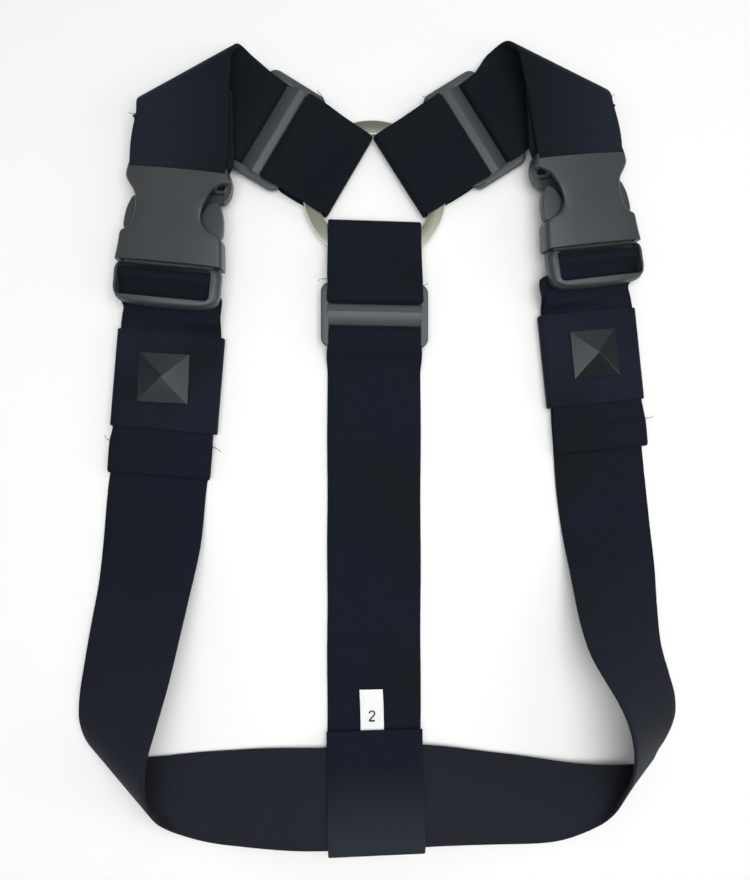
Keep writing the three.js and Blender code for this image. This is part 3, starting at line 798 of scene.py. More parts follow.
def cut_away(body: bmesh.types.BMesh, tool: bmesh.types.BMesh) -> bmesh.types.BMesh:
    """Cuts a mesh with another.

    Args:
        body: The mesh that is kept; it is freed.
        tool: The mesh that cuts; it is freed.

    Returns:
        The new mesh.
    """
    holders = []
    for mesh in (body, tool):
        bmesh.ops.recalc_face_normals(mesh, faces=mesh.faces)
        data = bpy.data.meshes.new("cut")
        mesh.to_mesh(data)
        mesh.free()
        holder = bpy.data.objects.new("cut", data)
        bpy.context.scene.collection.objects.link(holder)
        holders.append(holder)
    modifier = holders[0].modifiers.new("cut", "BOOLEAN")
    modifier.operation = "DIFFERENCE"
    modifier.solver = "EXACT"
    modifier.object = holders[1]
    made = evaluated(holders[0])
    for holder in holders:
        data = holder.data
        bpy.data.objects.remove(holder)
        bpy.data.meshes.remove(data)
    return made


class Nodes:
    """A short way to lay out one material's node tree."""

    def __init__(self, name: str) -> None:
        """Starts a material with a principled shader.

        Args:
            name: The material's name.
        """
        self.material = bpy.data.materials.new(name)
        self.material.use_nodes = True
        self.tree = self.material.node_tree
        self.shader = self.tree.nodes["Principled BSDF"]

    def add(self, kind: str, **values: object) -> bpy.types.Node:
        """Adds a node and sets its properties.

        Args:
            kind: The node's type without its ShaderNode prefix.
            values: Properties of the node.

        Returns:
            The node.
        """
        node = self.tree.nodes.new("ShaderNode" + kind)
        for key, value in values.items():
            setattr(node, key, value)
        return node

    def link(self, source: bpy.types.NodeSocket, target: bpy.types.NodeSocket) -> None:
        """Links one socket to another."""
        self.tree.links.new(source, target)

    def math(self, operation: str, first: object, second: object = None) -> bpy.types.NodeSocket:
        """Adds a sum of one or two values, each a socket or a number.

        Args:
            operation: The math node's operation.
            first: The first value.
            second: The second value, if it takes one.

        Returns:
            The result's socket.
        """
        node = self.add("Math", operation=operation)
        for socket, value in zip(node.inputs, (first, second)):
            if isinstance(value, bpy.types.NodeSocket):
                self.link(value, socket)
            elif value is not None:
                socket.default_value = value
        return node.outputs[0]

    def noise(self, scale: float, detail: float = 3.0,
              stretch: Sequence[float] = (1, 1, 1)) -> bpy.types.NodeSocket:
        """Adds noise on the object's own coordinates.

        Args:
            scale: How many lumps to the metre.
            detail: How many octaves.
            stretch: Scale of each axis.

        Returns:
            The noise's value socket.
        """
        place = self.add("TexCoord").outputs["Object"]
        mapping = self.add("Mapping")
        mapping.inputs["Scale"].default_value = stretch
        self.link(place, mapping.inputs["Vector"])
        noise = self.add("TexNoise")
        noise.inputs["Scale"].default_value = scale
        noise.inputs["Detail"].default_value = detail
        self.link(mapping.outputs["Vector"], noise.inputs["Vector"])
        return noise.outputs["Fac"]

    def ramp(self, value: bpy.types.NodeSocket, low: float, high: float, start: float = 0.0,
             end: float = 1.0) -> bpy.types.NodeSocket:
        """Maps one range onto another, and holds what lies outside at its ends.

        Args:
            value: The value's socket.
            low: The number at the range's start.
            high: The number at its end.
            start: Where the value's range starts.
            end: Where it ends.

        Returns:
            The mapped value's socket.
        """
        node = self.add("MapRange")
        node.inputs["From Min"].default_value = start
        node.inputs["From Max"].default_value = end
        node.inputs["To Min"].default_value = low
        node.inputs["To Max"].default_value = high
        self.link(value, node.inputs["Value"])
        return node.outputs["Result"]

    def blend(self, value: bpy.types.NodeSocket, dark: Colour | bpy.types.NodeSocket,
              light: Sequence[float]) -> bpy.types.NodeSocket:
        """Blends two colours.

        Args:
            value: 0 for the dark one and 1 for the light one.
            dark: The colour at 0, or its socket.
            light: The colour at 1.

        Returns:
            The colour's socket.
        """
        node = self.add("Mix", data_type="RGBA")
        colours = [socket for socket in node.inputs if socket.type == "RGBA"]
        if isinstance(dark, bpy.types.NodeSocket):
            self.link(dark, colours[0])
        else:
            colours[0].default_value = (*dark, 1)
        colours[1].default_value = (*light, 1)
        self.link(value, node.inputs["Factor"])
        return next(s for s in node.outputs if s.type == "RGBA")

    def bump(self, height: bpy.types.NodeSocket, depth: float, strength: float = 1.0) -> None:
        """Lets a height stand out of the surface, over any bump that is there.

        Args:
            height: The height, from 0 to 1.
            depth: The full height in metres.
            strength: How much of it shows.
        """
        node = self.add("Bump")
        node.inputs["Strength"].default_value = strength
        node.inputs["Distance"].default_value = depth
        self.link(height, node.inputs["Height"])
        socket = self.shader.inputs["Normal"]
        if socket.links:
            self.link(socket.links[0].from_socket, node.inputs["Normal"])
        self.link(node.outputs["Normal"], socket)


@dataclass(frozen=True)
class WebbingFinish:
    """Woven webbing: narrow ribs that lean one way and the other, with a little fuzz, and a painted
    sheen that lightens the colour along one axis.
    """

    name: str
    dark: Colour
    light: Colour
    column: float = 2.1
    pitch: float = 1.1
    lean: float = 0.8
    depth: float = 0.00016
    roughness: float = 0.72
    sheen: float = 0.07
    aged: Colour = (0.0056, 0.0086, 0.0112)
    painted_sheen: Colour = (0.0165, 0.0192, 0.0255)
    painted_sheen_from: float = -0.05
    painted_sheen_to: float = -0.2
    painted_sheen_strength: float = 0.8
    painted_sheen_outwards: bool = False

    def build(self) -> bpy.types.Material:
        """Builds the material on the strip's weave coordinates.

        Returns:
            The material.
        """
        nodes = Nodes(self.name)
        shader = nodes.shader
        split = nodes.add("SeparateXYZ")
        nodes.link(nodes.add("UVMap", uv_map=UV_NAME).outputs["UV"], split.inputs["Vector"])
        column = nodes.math("DIVIDE", split.outputs["X"], self.column * MM)
        along = nodes.math("DIVIDE", split.outputs["Y"], self.pitch * MM)
        inside = nodes.math("FRACT", column)
        whole = nodes.math("FLOOR", column)
        parity = nodes.math("MODULO", nodes.math("ABSOLUTE", whole), 2.0)
        way = nodes.math("SUBTRACT", nodes.math("MULTIPLY", parity, 2.0), 1.0)
        slant = nodes.math("MULTIPLY", nodes.math("MULTIPLY", inside, way), self.lean)
        wave = nodes.math("SINE", nodes.math("MULTIPLY", nodes.math("ADD", along, slant), math.tau))
        rib = nodes.ramp(nodes.math("MULTIPLY", nodes.math("ADD", wave, 1.0), 0.5), 0.0, 1.0)
        off = nodes.math("ABSOLUTE", nodes.math("SUBTRACT", nodes.math("MULTIPLY", inside, 2.0), 1.0))
        crown = nodes.math("SUBTRACT", 1.0, nodes.math("POWER", off, 5.0))
        yarn = nodes.math("MULTIPLY", rib, crown)
        fuzz = nodes.noise(2600.0, 4.0)
        patch = nodes.noise(38.0, 3.0)
        tone = nodes.math("ADD", nodes.math("MULTIPLY", yarn, 0.45), nodes.math("MULTIPLY", fuzz, 0.3))
        tone = nodes.math("ADD", tone, nodes.math("MULTIPLY", patch, 0.35))
        # Painted sheen: along y, or outwards along x, the colour blends towards a lighter navy,
        # standing in for the sheen on the strap's tilted faces.
        place = nodes.add("SeparateXYZ")
        nodes.link(nodes.add("TexCoord").outputs["Object"], place.inputs["Vector"])
        along = place.outputs["Y"]
        if self.painted_sheen_outwards:
            size = nodes.add("Math", operation="ABSOLUTE")
            nodes.link(place.outputs["X"], size.inputs[0])
            along = size.outputs[0]
        painted_sheen_mask = nodes.ramp(along, 0.0, self.painted_sheen_strength, self.painted_sheen_from, self.painted_sheen_to)
        cloth = nodes.blend(tone, self.dark, self.light)
        aged = nodes.ramp(nodes.noise(16.0, 2.0), 0.0, 1.0, 0.42, 0.66)
        cloth = nodes.blend(aged, cloth, self.aged)
        nodes.link(nodes.blend(painted_sheen_mask, cloth, self.painted_sheen), shader.inputs["Base Color"])
        rough = nodes.ramp(fuzz, self.roughness - 0.06, self.roughness + 0.05)
        nodes.link(rough, shader.inputs["Roughness"])
        shader.inputs["Specular IOR Level"].default_value = 0.06
        shader.inputs["Sheen Weight"].default_value = self.sheen
        shader.inputs["Sheen Roughness"].default_value = 0.35
        shader.inputs["Sheen Tint"].default_value = (0.72, 0.8, 1.0, 1)
        nodes.bump(yarn, self.depth, 0.7)
        nodes.bump(fuzz, 0.00004, 0.5)
        return nodes.material


@dataclass(frozen=True)
class MouldedFinish:
    """Moulded plastic with a fine spark-eroded grain and faint flow marks."""

    name: str
    dark: Colour
    light: Colour
    roughness: float
    grain: float = 0.00003
    glint: Colour = (0.88, 0.96, 1.0)

    def build(self) -> bpy.types.Material:
        """Builds the material.

        Returns:
            The material.
        """
        nodes = Nodes(self.name)
        shader = nodes.shader
        speckle = nodes.noise(5200.0, 2.0)
        flow = nodes.noise(55.0, 3.0, (1.0, 0.35, 1.0))
        tone = nodes.math("ADD", nodes.math("MULTIPLY", flow, 0.75),
                          nodes.math("MULTIPLY", speckle, 0.25))
        nodes.link(nodes.blend(tone, self.dark, self.light), shader.inputs["Base Color"])
        rough = nodes.ramp(flow, self.roughness - 0.05, self.roughness + 0.07)
        nodes.link(rough, shader.inputs["Roughness"])
        shader.inputs["Specular IOR Level"].default_value = 0.5
        shader.inputs["Specular Tint"].default_value = (*self.glint, 1.0)
        nodes.bump(speckle, self.grain, 0.6)
        return nodes.material


@dataclass(frozen=True)
class SteelFinish:
    """Stamped steel, tumbled to a soft warm shine with fine scuffs, with a painted highlight on the
    faces that look sideways.
    """

    name: str
    colour: Colour
    scuffed: Colour
    painted_edge_highlight: Colour = (0.7, 0.7, 0.64)
    roughness: float = 0.34

    def build(self) -> bpy.types.Material:
        """Builds the material.

        Returns:
            The material.
        """
        nodes = Nodes(self.name)
        shader = nodes.shader
        scuff = nodes.noise(900.0, 5.0, (1.0, 1.0, 0.2))
        cloud = nodes.noise(120.0, 3.0)
        # Painted highlight: faces that look sideways, such as the ring's rounded rims, turn pale and
        # less metallic, as if catching the light.
        facing = nodes.add("SeparateXYZ")
        nodes.link(nodes.add("TexCoord").outputs["Normal"], facing.inputs["Vector"])
        painted_edge_highlight = nodes.ramp(facing.outputs["Z"], 1.0, 0.0, 0.8, 0.97)
        steel = nodes.blend(cloud, self.scuffed, self.colour)
        nodes.link(nodes.blend(painted_edge_highlight, steel, self.painted_edge_highlight), shader.inputs["Base Color"])
        nodes.link(nodes.ramp(painted_edge_highlight, 1.0, 0.25), shader.inputs["Metallic"])
        rough = nodes.ramp(scuff, self.roughness - 0.08, self.roughness + 0.12)
        nodes.link(rough, shader.inputs["Roughness"])
        nodes.bump(scuff, 0.00002, 0.5)
        return nodes.material


@dataclass(frozen=True)
class SatinFinish:
    """White satin ribbon: fine threads across it, with a soft shine."""

    name: str
    dark: Colour = (0.7, 0.71, 0.72)
    light: Colour = (0.86, 0.86, 0.86)
    pitch: float = 0.28

    def build(self) -> bpy.types.Material:
        """Builds the material on the strip's weave coordinates.

        Returns:
            The material.
        """
        nodes = Nodes(self.name)
        shader = nodes.shader
        split = nodes.add("SeparateXYZ")
        nodes.link(nodes.add("UVMap", uv_map=UV_NAME).outputs["UV"], split.inputs["Vector"])
        turns = nodes.math("MULTIPLY", split.outputs["Y"], math.tau / (self.pitch * MM))
        thread = nodes.math("MULTIPLY", nodes.math("ADD", nodes.math("SINE", turns), 1.0), 0.5)
        nodes.link(nodes.blend(thread, self.dark, self.light), shader.inputs["Base Color"])
        rough = nodes.ramp(nodes.noise(700.0), 0.4, 0.55)
        nodes.link(rough, shader.inputs["Roughness"])
        shader.inputs["Sheen Weight"].default_value = 0.2
        nodes.bump(thread, 0.00003, 0.5)
        return nodes.material


@dataclass(frozen=True)
class ThreadFinish:
    """Sewing thread, twisted from two plies."""

    name: str
    dark: Colour
    light: Colour
    specular: float = 0.15

    def build(self) -> bpy.types.Material:
        """Builds the material.

        Returns:
            The material.
        """
        nodes = Nodes(self.name)
        shader = nodes.shader
        ply = nodes.noise(4200.0, 2.0, (1.0, 0.4, 1.0))
        nodes.link(nodes.blend(ply, self.dark, self.light), shader.inputs["Base Color"])
        shader.inputs["Specular IOR Level"].default_value = self.specular
        nodes.link(nodes.ramp(ply, 0.6, 0.8), shader.inputs["Roughness"])
        nodes.bump(ply, 0.00004, 0.6)
        return nodes.material


@dataclass(frozen=True)
class TableFinish:
    """The pale matt table top."""

    name: str = "pale_table"
    dark: Colour = (0.82, 0.82, 0.815)
    light: Colour = (0.86, 0.86, 0.855)

    def build(self) -> bpy.types.Material:
        """Builds the material.

        Returns:
            The material.
        """
        nodes = Nodes(self.name)
        cloud = nodes.noise(3.0, 3.0)
        nodes.link(nodes.blend(cloud, self.dark, self.light), nodes.shader.inputs["Base Color"])
        nodes.link(nodes.ramp(cloud, 0.75, 0.9), nodes.shader.inputs["Roughness"])
        return nodes.material


@dataclass
class Palette:
    """The harness's materials, built once."""

    webbing: bpy.types.Material
    keeper: bpy.types.Material
    shoulder: bpy.types.Material
    sleeve: bpy.types.Material
    plastic: bpy.types.Material
    slider: bpy.types.Material
    stud: bpy.types.Material
    steel: bpy.types.Material
    satin: bpy.types.Material
    thread: bpy.types.Material
    stitch: bpy.types.Material
    print_ink: bpy.types.Material

    @classmethod
    def build(cls) -> Palette:
        """Builds every finish.

        Returns:
            The palette.
        """
        navy = ((0.0042, 0.0056, 0.0115), (0.0095, 0.0122, 0.022))
        return cls(
            # The waist strap's webbing turns lighter towards -y, the bottom of the harness: painted
            # sheen on its raised corners and lower edge.
            webbing=WebbingFinish("navy_webbing", *navy).build(),
            keeper=WebbingFinish("navy_keeper_webbing", (0.0075, 0.0095, 0.0165),
                                 (0.0135, 0.0165, 0.029), column=1.7, pitch=0.9).build(),
            # The shoulder copy is darker all over, painted shade on the loops near the ring, and turns
            # lighter away from the middle across x, painted sheen on its folds.
            shoulder=WebbingFinish("navy_shoulder_webbing", (0.003, 0.0052, 0.0076),
                                   (0.0062, 0.0104, 0.0145), painted_sheen=(0.0125, 0.0162, 0.0255),
                                   painted_sheen_from=0.075, painted_sheen_to=0.115, painted_sheen_strength=0.9,
                                   painted_sheen_outwards=True).build(),
            # The back strap's copy turns lighter at the sleeve's lower edge: painted sheen.
            sleeve=WebbingFinish("navy_back_webbing", *navy, painted_sheen=(0.021, 0.0275, 0.033),
                                 painted_sheen_from=-0.167, painted_sheen_to=-0.2, painted_sheen_strength=0.9).build(),
            plastic=MouldedFinish("grey_moulding", (0.031, 0.036, 0.038),
                                  (0.044, 0.05, 0.052), 0.36).build(),
            slider=MouldedFinish("slider_moulding", (0.036, 0.042, 0.044),
                                 (0.051, 0.058, 0.06), 0.36).build(),
            stud=MouldedFinish("dark_moulding", (0.0045, 0.006, 0.0075),
                               (0.0085, 0.0105, 0.0125), 0.24).build(),
            steel=SteelFinish("warm_steel", (0.245, 0.25, 0.198), (0.19, 0.195, 0.15)).build(),
            satin=SatinFinish("white_satin").build(),
            thread=ThreadFinish("navy_thread", (0.005, 0.0065, 0.012),
                                (0.014, 0.017, 0.026)).build(),
            stitch=ThreadFinish("navy_stitch", (0.003, 0.004, 0.0075),
                                (0.0065, 0.0085, 0.0145)).build(),
            print_ink=ThreadFinish("grey_print", (0.03, 0.03, 0.032), (0.06, 0.06, 0.062)).build(),
        )


@dataclass
class SteelRing:
    """The flat steel ring that the three straps fold round."""

    bench: Bench
    palette: Palette
    inner: float
    foot: float = LAYER
    edge: float = 0.7
    sides: int = 180

    def build(self) -> None:
        """Builds the ring and dresses it."""
        outer, top = self.inner + RING_BAND, self.foot + RING_THICK
        profile = rounded_rectangle((self.inner, self.foot), (outer, top), self.edge, 4)
        mesh = bmesh.new()
        rings = []
        for i in range(self.sides):
            away = toward(360 * i / self.sides)
            rings.append([mesh.verts.new(away * x + Vector((0, 0, z))) for x, z in profile])
        loft(mesh, rings, closed=True)
        self.bench.piece("ring_band", mesh, self.palette.steel, Slot.STEEL,
                         Matrix.Translation(RING_CENTRE), stands_for="steel_ring")


@dataclass
class RingLoop:
    """The way of a strap round its slider's bars and through the ring."""

    slider: float
    closest: float
    sewn: float = 8.0
    fold_share: float = 0.985

    def __post_init__(self) -> None:
        """Works out where the fold and the ring's edge lie."""
        fold_half = HALF * 0.975
        self.fold = (RING_THICK + LAYER + GAP) / 2
        self.fold_reach = fold_half / math.tan(math.radians(self.closest / 2)) + 2 * GAP
        self.ring_inner = math.hypot(self.fold_reach + self.fold, fold_half) + GAP

    def steps(self) -> list[Step]:
        """Lists the strap's way as places along, heights and shares of the width.

        Returns:
            The steps, from the sewn end to past the slider.
        """
        near, far = self.slider - END_BAR_AT, self.slider + END_BAR_AT
        bar_mid = LAYER + END_BAR_THICK / 2 + GAP
        over = LAYER + END_BAR_THICK + GAP + LAYER / 2 + GAP
        tight = SLOT_SHARE
        axis = self.fold_reach + self.fold
        mid = TABLE + self.fold + GAP / 2
        rise = self.fold + GAP / 2
        wrap = END_BAR / 2 + GAP + STRAP_THICK / 2
        drop = RIDGE_BAR / 2 + STRAP_THICK / 2 + 0.25
        fold = []
        for angle in range(-90, -271, -30):
            turn = math.radians(angle)
            fold.append((axis + (self.fold - GAP) * math.cos(turn), mid + rise * math.sin(turn),
                         self.fold_share))
        return [
            (near - wrap - self.sewn / 2, TABLE + LAYER),
            (near - wrap - 1.2, TABLE + LAYER, tight),
            (near - 1.6, over - 0.15, tight),
            (near + 1, over, tight),
            (near + wrap - 0.5, over - 0.9, tight),
            (near + wrap, bar_mid - 0.2, tight),
            (near + wrap - 0.6, TABLE + 0.75, tight),
            (near + 1, TABLE, tight),
            (near - 4, TABLE),
            *fold,
            (self.ring_inner + RING_BAND * 0.3, mid + rise, 1.0),
            (near - 1, over + LAYER - 0.2, 1.01),
            (near + 3, over + LAYER, 1.01),
            (self.slider - drop - 2.4, over + LAYER - 0.2, 1.02),
            (self.slider - drop - 0.9, over + LAYER - 0.9, 1.02),
            (self.slider - drop - 0.2, over - 0.4, 0.99),
            (self.slider - drop, over - 1.1, tight),
            (self.slider - drop + 0.1, bar_mid - 0.4, tight),
            (self.slider - drop + 1.3, TABLE + 0.4, tight),
            (self.slider - 3, TABLE, tight),
            (self.slider + 3, TABLE, tight),
            (self.slider + drop - 1.3, TABLE + 0.4, tight),
            (self.slider + drop - 0.1, bar_mid - 0.4, tight),
            (self.slider + drop + 0.1, over - 1.4, tight),
            (self.slider + drop + 1.2, over - 0.1, 0.96),
            (far - 3, over + 0.4, 0.97),
            (far, over + 0.3, 0.98),
        ]

    def off(self) -> list[Step]:
        """Lists the way from the slider's far bar down to the table.

        Returns:
            The steps of a strap that goes straight on.
        """
        far = self.slider + END_BAR_AT
        return [
            (far + 4, 5.0, 1.01),
            (far + 9, 2.2, 1.02),
            (far + 14, TABLE + 0.2, 1.0),
            (far + 20, TABLE, 1.0),
            (far + 60, TABLE, 1.0),
        ]


def closest_headings() -> float:
    """Gives the smallest angle between two neighbouring straps at the ring, in degrees."""
    left, right = SHOULDERS[Side.LEFT].heading, SHOULDERS[Side.RIGHT].heading
    return min(left - right, BACK_HEADING - left, right + 360 - BACK_HEADING)


@dataclass
class Slider:
    """A moulded slider: round end bars, side rails and a ridged bar between the two slots."""

    bench: Bench
    palette: Palette
    name: str
    heading: float
    reach: float
    length: float = 33.4
    rail: float = 4.3
    foot: float = LAYER
    thick: float = 3.6
    corner: float = 5.0
    window_corner: float = 1.6
    end_wall: float = 3.2
    edge: float = 0.8
    slot_half: float = HALF * SLOT_SHARE + GAP

    def build(self) -> None:
        """Builds the frame, its two end bars and the ridged bar."""
        top = self.foot + self.thick
        half, inner = self.slot_half + self.rail, self.slot_half
        end = self.length / 2
        gap = end - self.end_wall
        outline = rounded_rectangle((-half, -end), (half, end), self.corner, 8)
        window = rounded_rectangle((-inner, -gap), (inner, gap), self.window_corner)
        frame = plate([outline, window], self.foot, top, self.edge)
        mid = self.foot + END_BAR_THICK / 2 + GAP
        bars = []
        for sign in (-1, 1):
            low, high = sorted((sign * (gap - 2.0), sign * (end + 1)))
            frame = cut_away(frame, block((-inner, low, -1), (inner, high, top + 2)))
            bars.append(bar(inner + 1, sign * END_BAR_AT, mid, END_BAR, END_BAR_THICK))
        self.bench.piece(
            f"{self.name}_moulding", merge([frame, *bars, self.ridged_bar(top)]),
            self.palette.slider, Slot.PLASTIC,
            frame_at(RING_CENTRE.x, RING_CENTRE.y, 0, self.heading)
            @ Matrix.Translation((0, self.reach, 0)), stands_for=self.name,
        )

    def ridged_bar(self, top: float) -> bmesh.types.BMesh:
        """Builds the middle bar, its ridge nearer the ring's side.

        Args:
            top: The frame's top, in mm.

        Returns:
            The bar's mesh.
        """
        half = RIDGE_BAR / 2
        profile = [
            (-half, self.foot + 0.3),
            (half, self.foot + 0.3),
            (half, top - 1.3),
            (half - 0.3, top - 0.95),
            (-0.7, top + 0.9),
            (-1.1, top + 1.0),
            (-1.5, top + 0.96),
            (-half + 0.4, top + 0.35),
            (-half, top),
        ]
        return prism(profile, self.slot_half + 1)


@dataclass
class ThreadEnd:
    """A cut end of sewing thread that sticks out of a strap's edge."""

    x: float
    y: float
    turn: float
    length: float = 4.2
    curl: float = 0.6
    height: float = 3.0

    def mesh(self) -> bmesh.types.BMesh:
        """Builds the thread's end as a thin bent tube.

        Returns:
            The mesh, in layout millimetres.
        """
        along, aside = toward(self.turn), toward(self.turn + 90)
        start = Vector((self.x, self.y, self.height))
        points = [
            start - along * 2.4,
            start,
            start + along * self.length * 0.5 + aside * self.curl + Vector((0, 0, 0.25)),
            start + along * self.length + aside * self.curl * 0.2 + Vector((0, 0, -0.1)),
        ]
        return tube(points, 0.2)


@dataclass
class ShoulderStrap:
    """One shoulder strap: ring loop, rolled diagonal fold and the loop in the buckle's socket."""

    bench: Bench
    palette: Palette
    side: Side

    def fold(self) -> list[Section]:
        """Rolls the strap half a turn round the shoulder's ridge.

        Returns:
            The fold's cross-sections.
        """
        place = SHOULDERS[self.side]
        heading, across = toward(place.heading), toward(place.heading - 90)
        ridge, away = toward(place.ridge_heading), toward(place.ridge_heading + 90)
        if heading.dot(away) < 0:
            away.negate()
        start = Vector((RING_CENTRE.x, RING_CENTRE.y, TABLE))
        start += heading * place.ridge + across * place.drift
        reach = HALF * place.share / ridge.dot(across)
        slip = heading.dot(ridge) / heading.dot(away)
        sections = []
        for step in range(9):
            turn = math.pi * step / 8
            centre = start + ridge * (place.roll * turn * slip)
            centre += away * (place.roll * math.sin(turn))
            centre.z += place.roll * (1 - math.cos(turn))
            tip = 2.6 + 1.0 * math.sin(turn) if step < 4 else 3.6 * math.sin(turn)
            longer = ridge * (reach + tip)
            if self.side is Side.LEFT:
                sections.append((centre + longer, centre - ridge * reach))
            else:
                sections.append((centre + ridge * reach, centre - longer))
        return sections

    def build(self) -> None:
        """Builds the strap and dresses it."""
        place = SHOULDERS[self.side]
        ring = frame_at(RING_CENTRE.x, RING_CENTRE.y, 0, place.heading)
        steps = RingLoop(place.slider, closest_headings()).steps()
        sections = run(ring, steps, 1) + self.fold() + BuckleLoop(self.side).sections()
        strip = Strip(settled(smooth_sections(sections, 2.4, 3)), seed=11 + self.side.value)
        word = self.side.word
        piece = self.bench.piece(f"shoulder_webbing_{word}", strip.mesh(), self.palette.shoulder,
                                 Slot.WEBBING, stands_for=f"shoulder_strap_{word}")


@dataclass
class BuckleSizes:
    """The sizes that the socket, its prongs and the straps through them share."""

    thick: float = 12.0
    length: float = 46.0
    half_width: float = 27.0
    wall: float = 2.4
    bar: float = 3.4
    bar_setback: float = 2.6
    web: float = 1.2
    mouth_half: float = 23.0
    clearance: float = 0.5
    frame_length: float = 21.5
    rail: float = 2.4
    foot: float = 4.2
    middle_bar: float = 3.4
    middle_bar_thick: float = 2.6
    bar_share: float = 0.27
    window_shift: float = 1.4
    lift: float = 0.2
    strap_half: float = HALF * BUCKLE_SHARE + GAP

    @property
    def frame_half(self) -> float:
        """Half of the prong frame's width."""
        return self.strap_half + self.rail

    @property
    def bar_height(self) -> float:
        """The height of the socket's bar."""
        return self.thick / 2 - 1

    @property
    def bar_wrap(self) -> float:
        """How far from the bar's middle the strap round it lies."""
        return (self.bar + STRAP_THICK) / 2 + GAP

    @property
    def middle_bar_at(self) -> float:
        """How far along the buckle the prong frame's middle bar lies."""
        return self.length + self.bar_share * self.frame_length

    @property
    def middle_bar_height(self) -> float:
        """The height of the prong frame's middle bar."""
        return self.thick / 2 - 0.4

    @property
    def foot_end(self) -> float:
        """Where the prong frame ends."""
        return self.length + self.frame_length

    def frame(self, side: Side) -> Matrix:
        """Gives the local frame of a side's buckle.

        Args:
            side: Which buckle.

        Returns:
            The frame, with y from the socket's bar to the prong frame's foot.
        """
        place = BUCKLES[side]
        lift = self.lift + self.frame_half * abs(math.sin(math.radians(place.tilt)))
        return frame_at(place.x, place.y, lift, place.heading, place.tilt)


@dataclass
class BuckleLoop:
    """The strap's way into the socket, round its bar and back up behind itself."""

    side: Side
    sizes: BuckleSizes = field(default_factory=BuckleSizes)

    def sections(self) -> list[Section]:
        """Gives the loop's cross-sections, the front layer first.

        Returns:
            The cross-sections.
        """
        sizes = self.sizes
        frame = sizes.frame(self.side)
        mid, wrap = sizes.bar_height, sizes.bar_wrap
        back = sizes.bar_setback + wrap
        tight = BUCKLE_SHARE
        outward = self.side.value
        front = [
            (-11, mid + wrap + 0.9, 1.0),
            (-3, mid + wrap + 0.5, 0.99),
            (sizes.bar_setback, mid + wrap, tight),
            (sizes.bar_setback + wrap * 0.7, mid + wrap * 0.7, tight),
            (back, mid, tight),
            (sizes.bar_setback + wrap * 0.7, mid - wrap * 0.7, tight),
            (sizes.bar_setback, mid - wrap, tight),
            (1, mid - wrap + 0.2, tight),
        ]
        rear = [
            (-7, mid + wrap - 0.6 - LAYER, 1.0),
            (-12, mid + wrap - LAYER, 1.0),
            (-22, mid + wrap + 0.2 - LAYER, 1.0),
        ]
        lean = 0.7 * outward
        sections = run(frame, front, -1, -lean)
        for step, inward in zip(rear, (2.0, 1.6, 0.4)):
            sections += run(frame, [step], -1, inward * outward)
        first, second = run(frame, [(0, mid + wrap - 0.2 - LAYER, 1.0)], -1, -2.2 * outward)[0]
        along = (frame.to_3x3() @ Vector((0, 1, 0))).normalized()
        inner, outer = (-44, -27) if outward == 1 else (-27, -44)
        return sections + [(first + along * inner, second + along * outer)]


@dataclass(frozen=True)
class Sleeve:
    """Where the back strap folds round the lower strap."""

    x: float = -1.0
    y: float = -158.3
    bank: float = 14.8
    flap: float = 32.3
    share: float = 1.02

    @property
    def level(self) -> float:
        """Half of the banked strap's width, as seen from above."""
        return HALF * math.cos(math.radians(self.bank))

    @property
    def rise(self) -> float:
        """How far the strap's upper edge lies over its lower one."""
        return 2 * HALF * math.sin(math.radians(self.bank))

    @property
    def flap_end(self) -> float:
        """How far from the ring's middle the flap ends."""
        return RING_CENTRE.y - self.y - self.flap

    def section(self, offset: float) -> Section:
        """Gives the lower strap's cross-section in the sleeve.

        Args:
            offset: How far it lies off the sleeve's middle, in mm.

        Returns:
            The two edge points.
        """
        x, foot = self.x + offset, TABLE + LAYER
        return (Vector((x, self.y + self.level, foot)),
                Vector((x, self.y - self.level, foot + self.rise)))


SLEEVE = Sleeve()


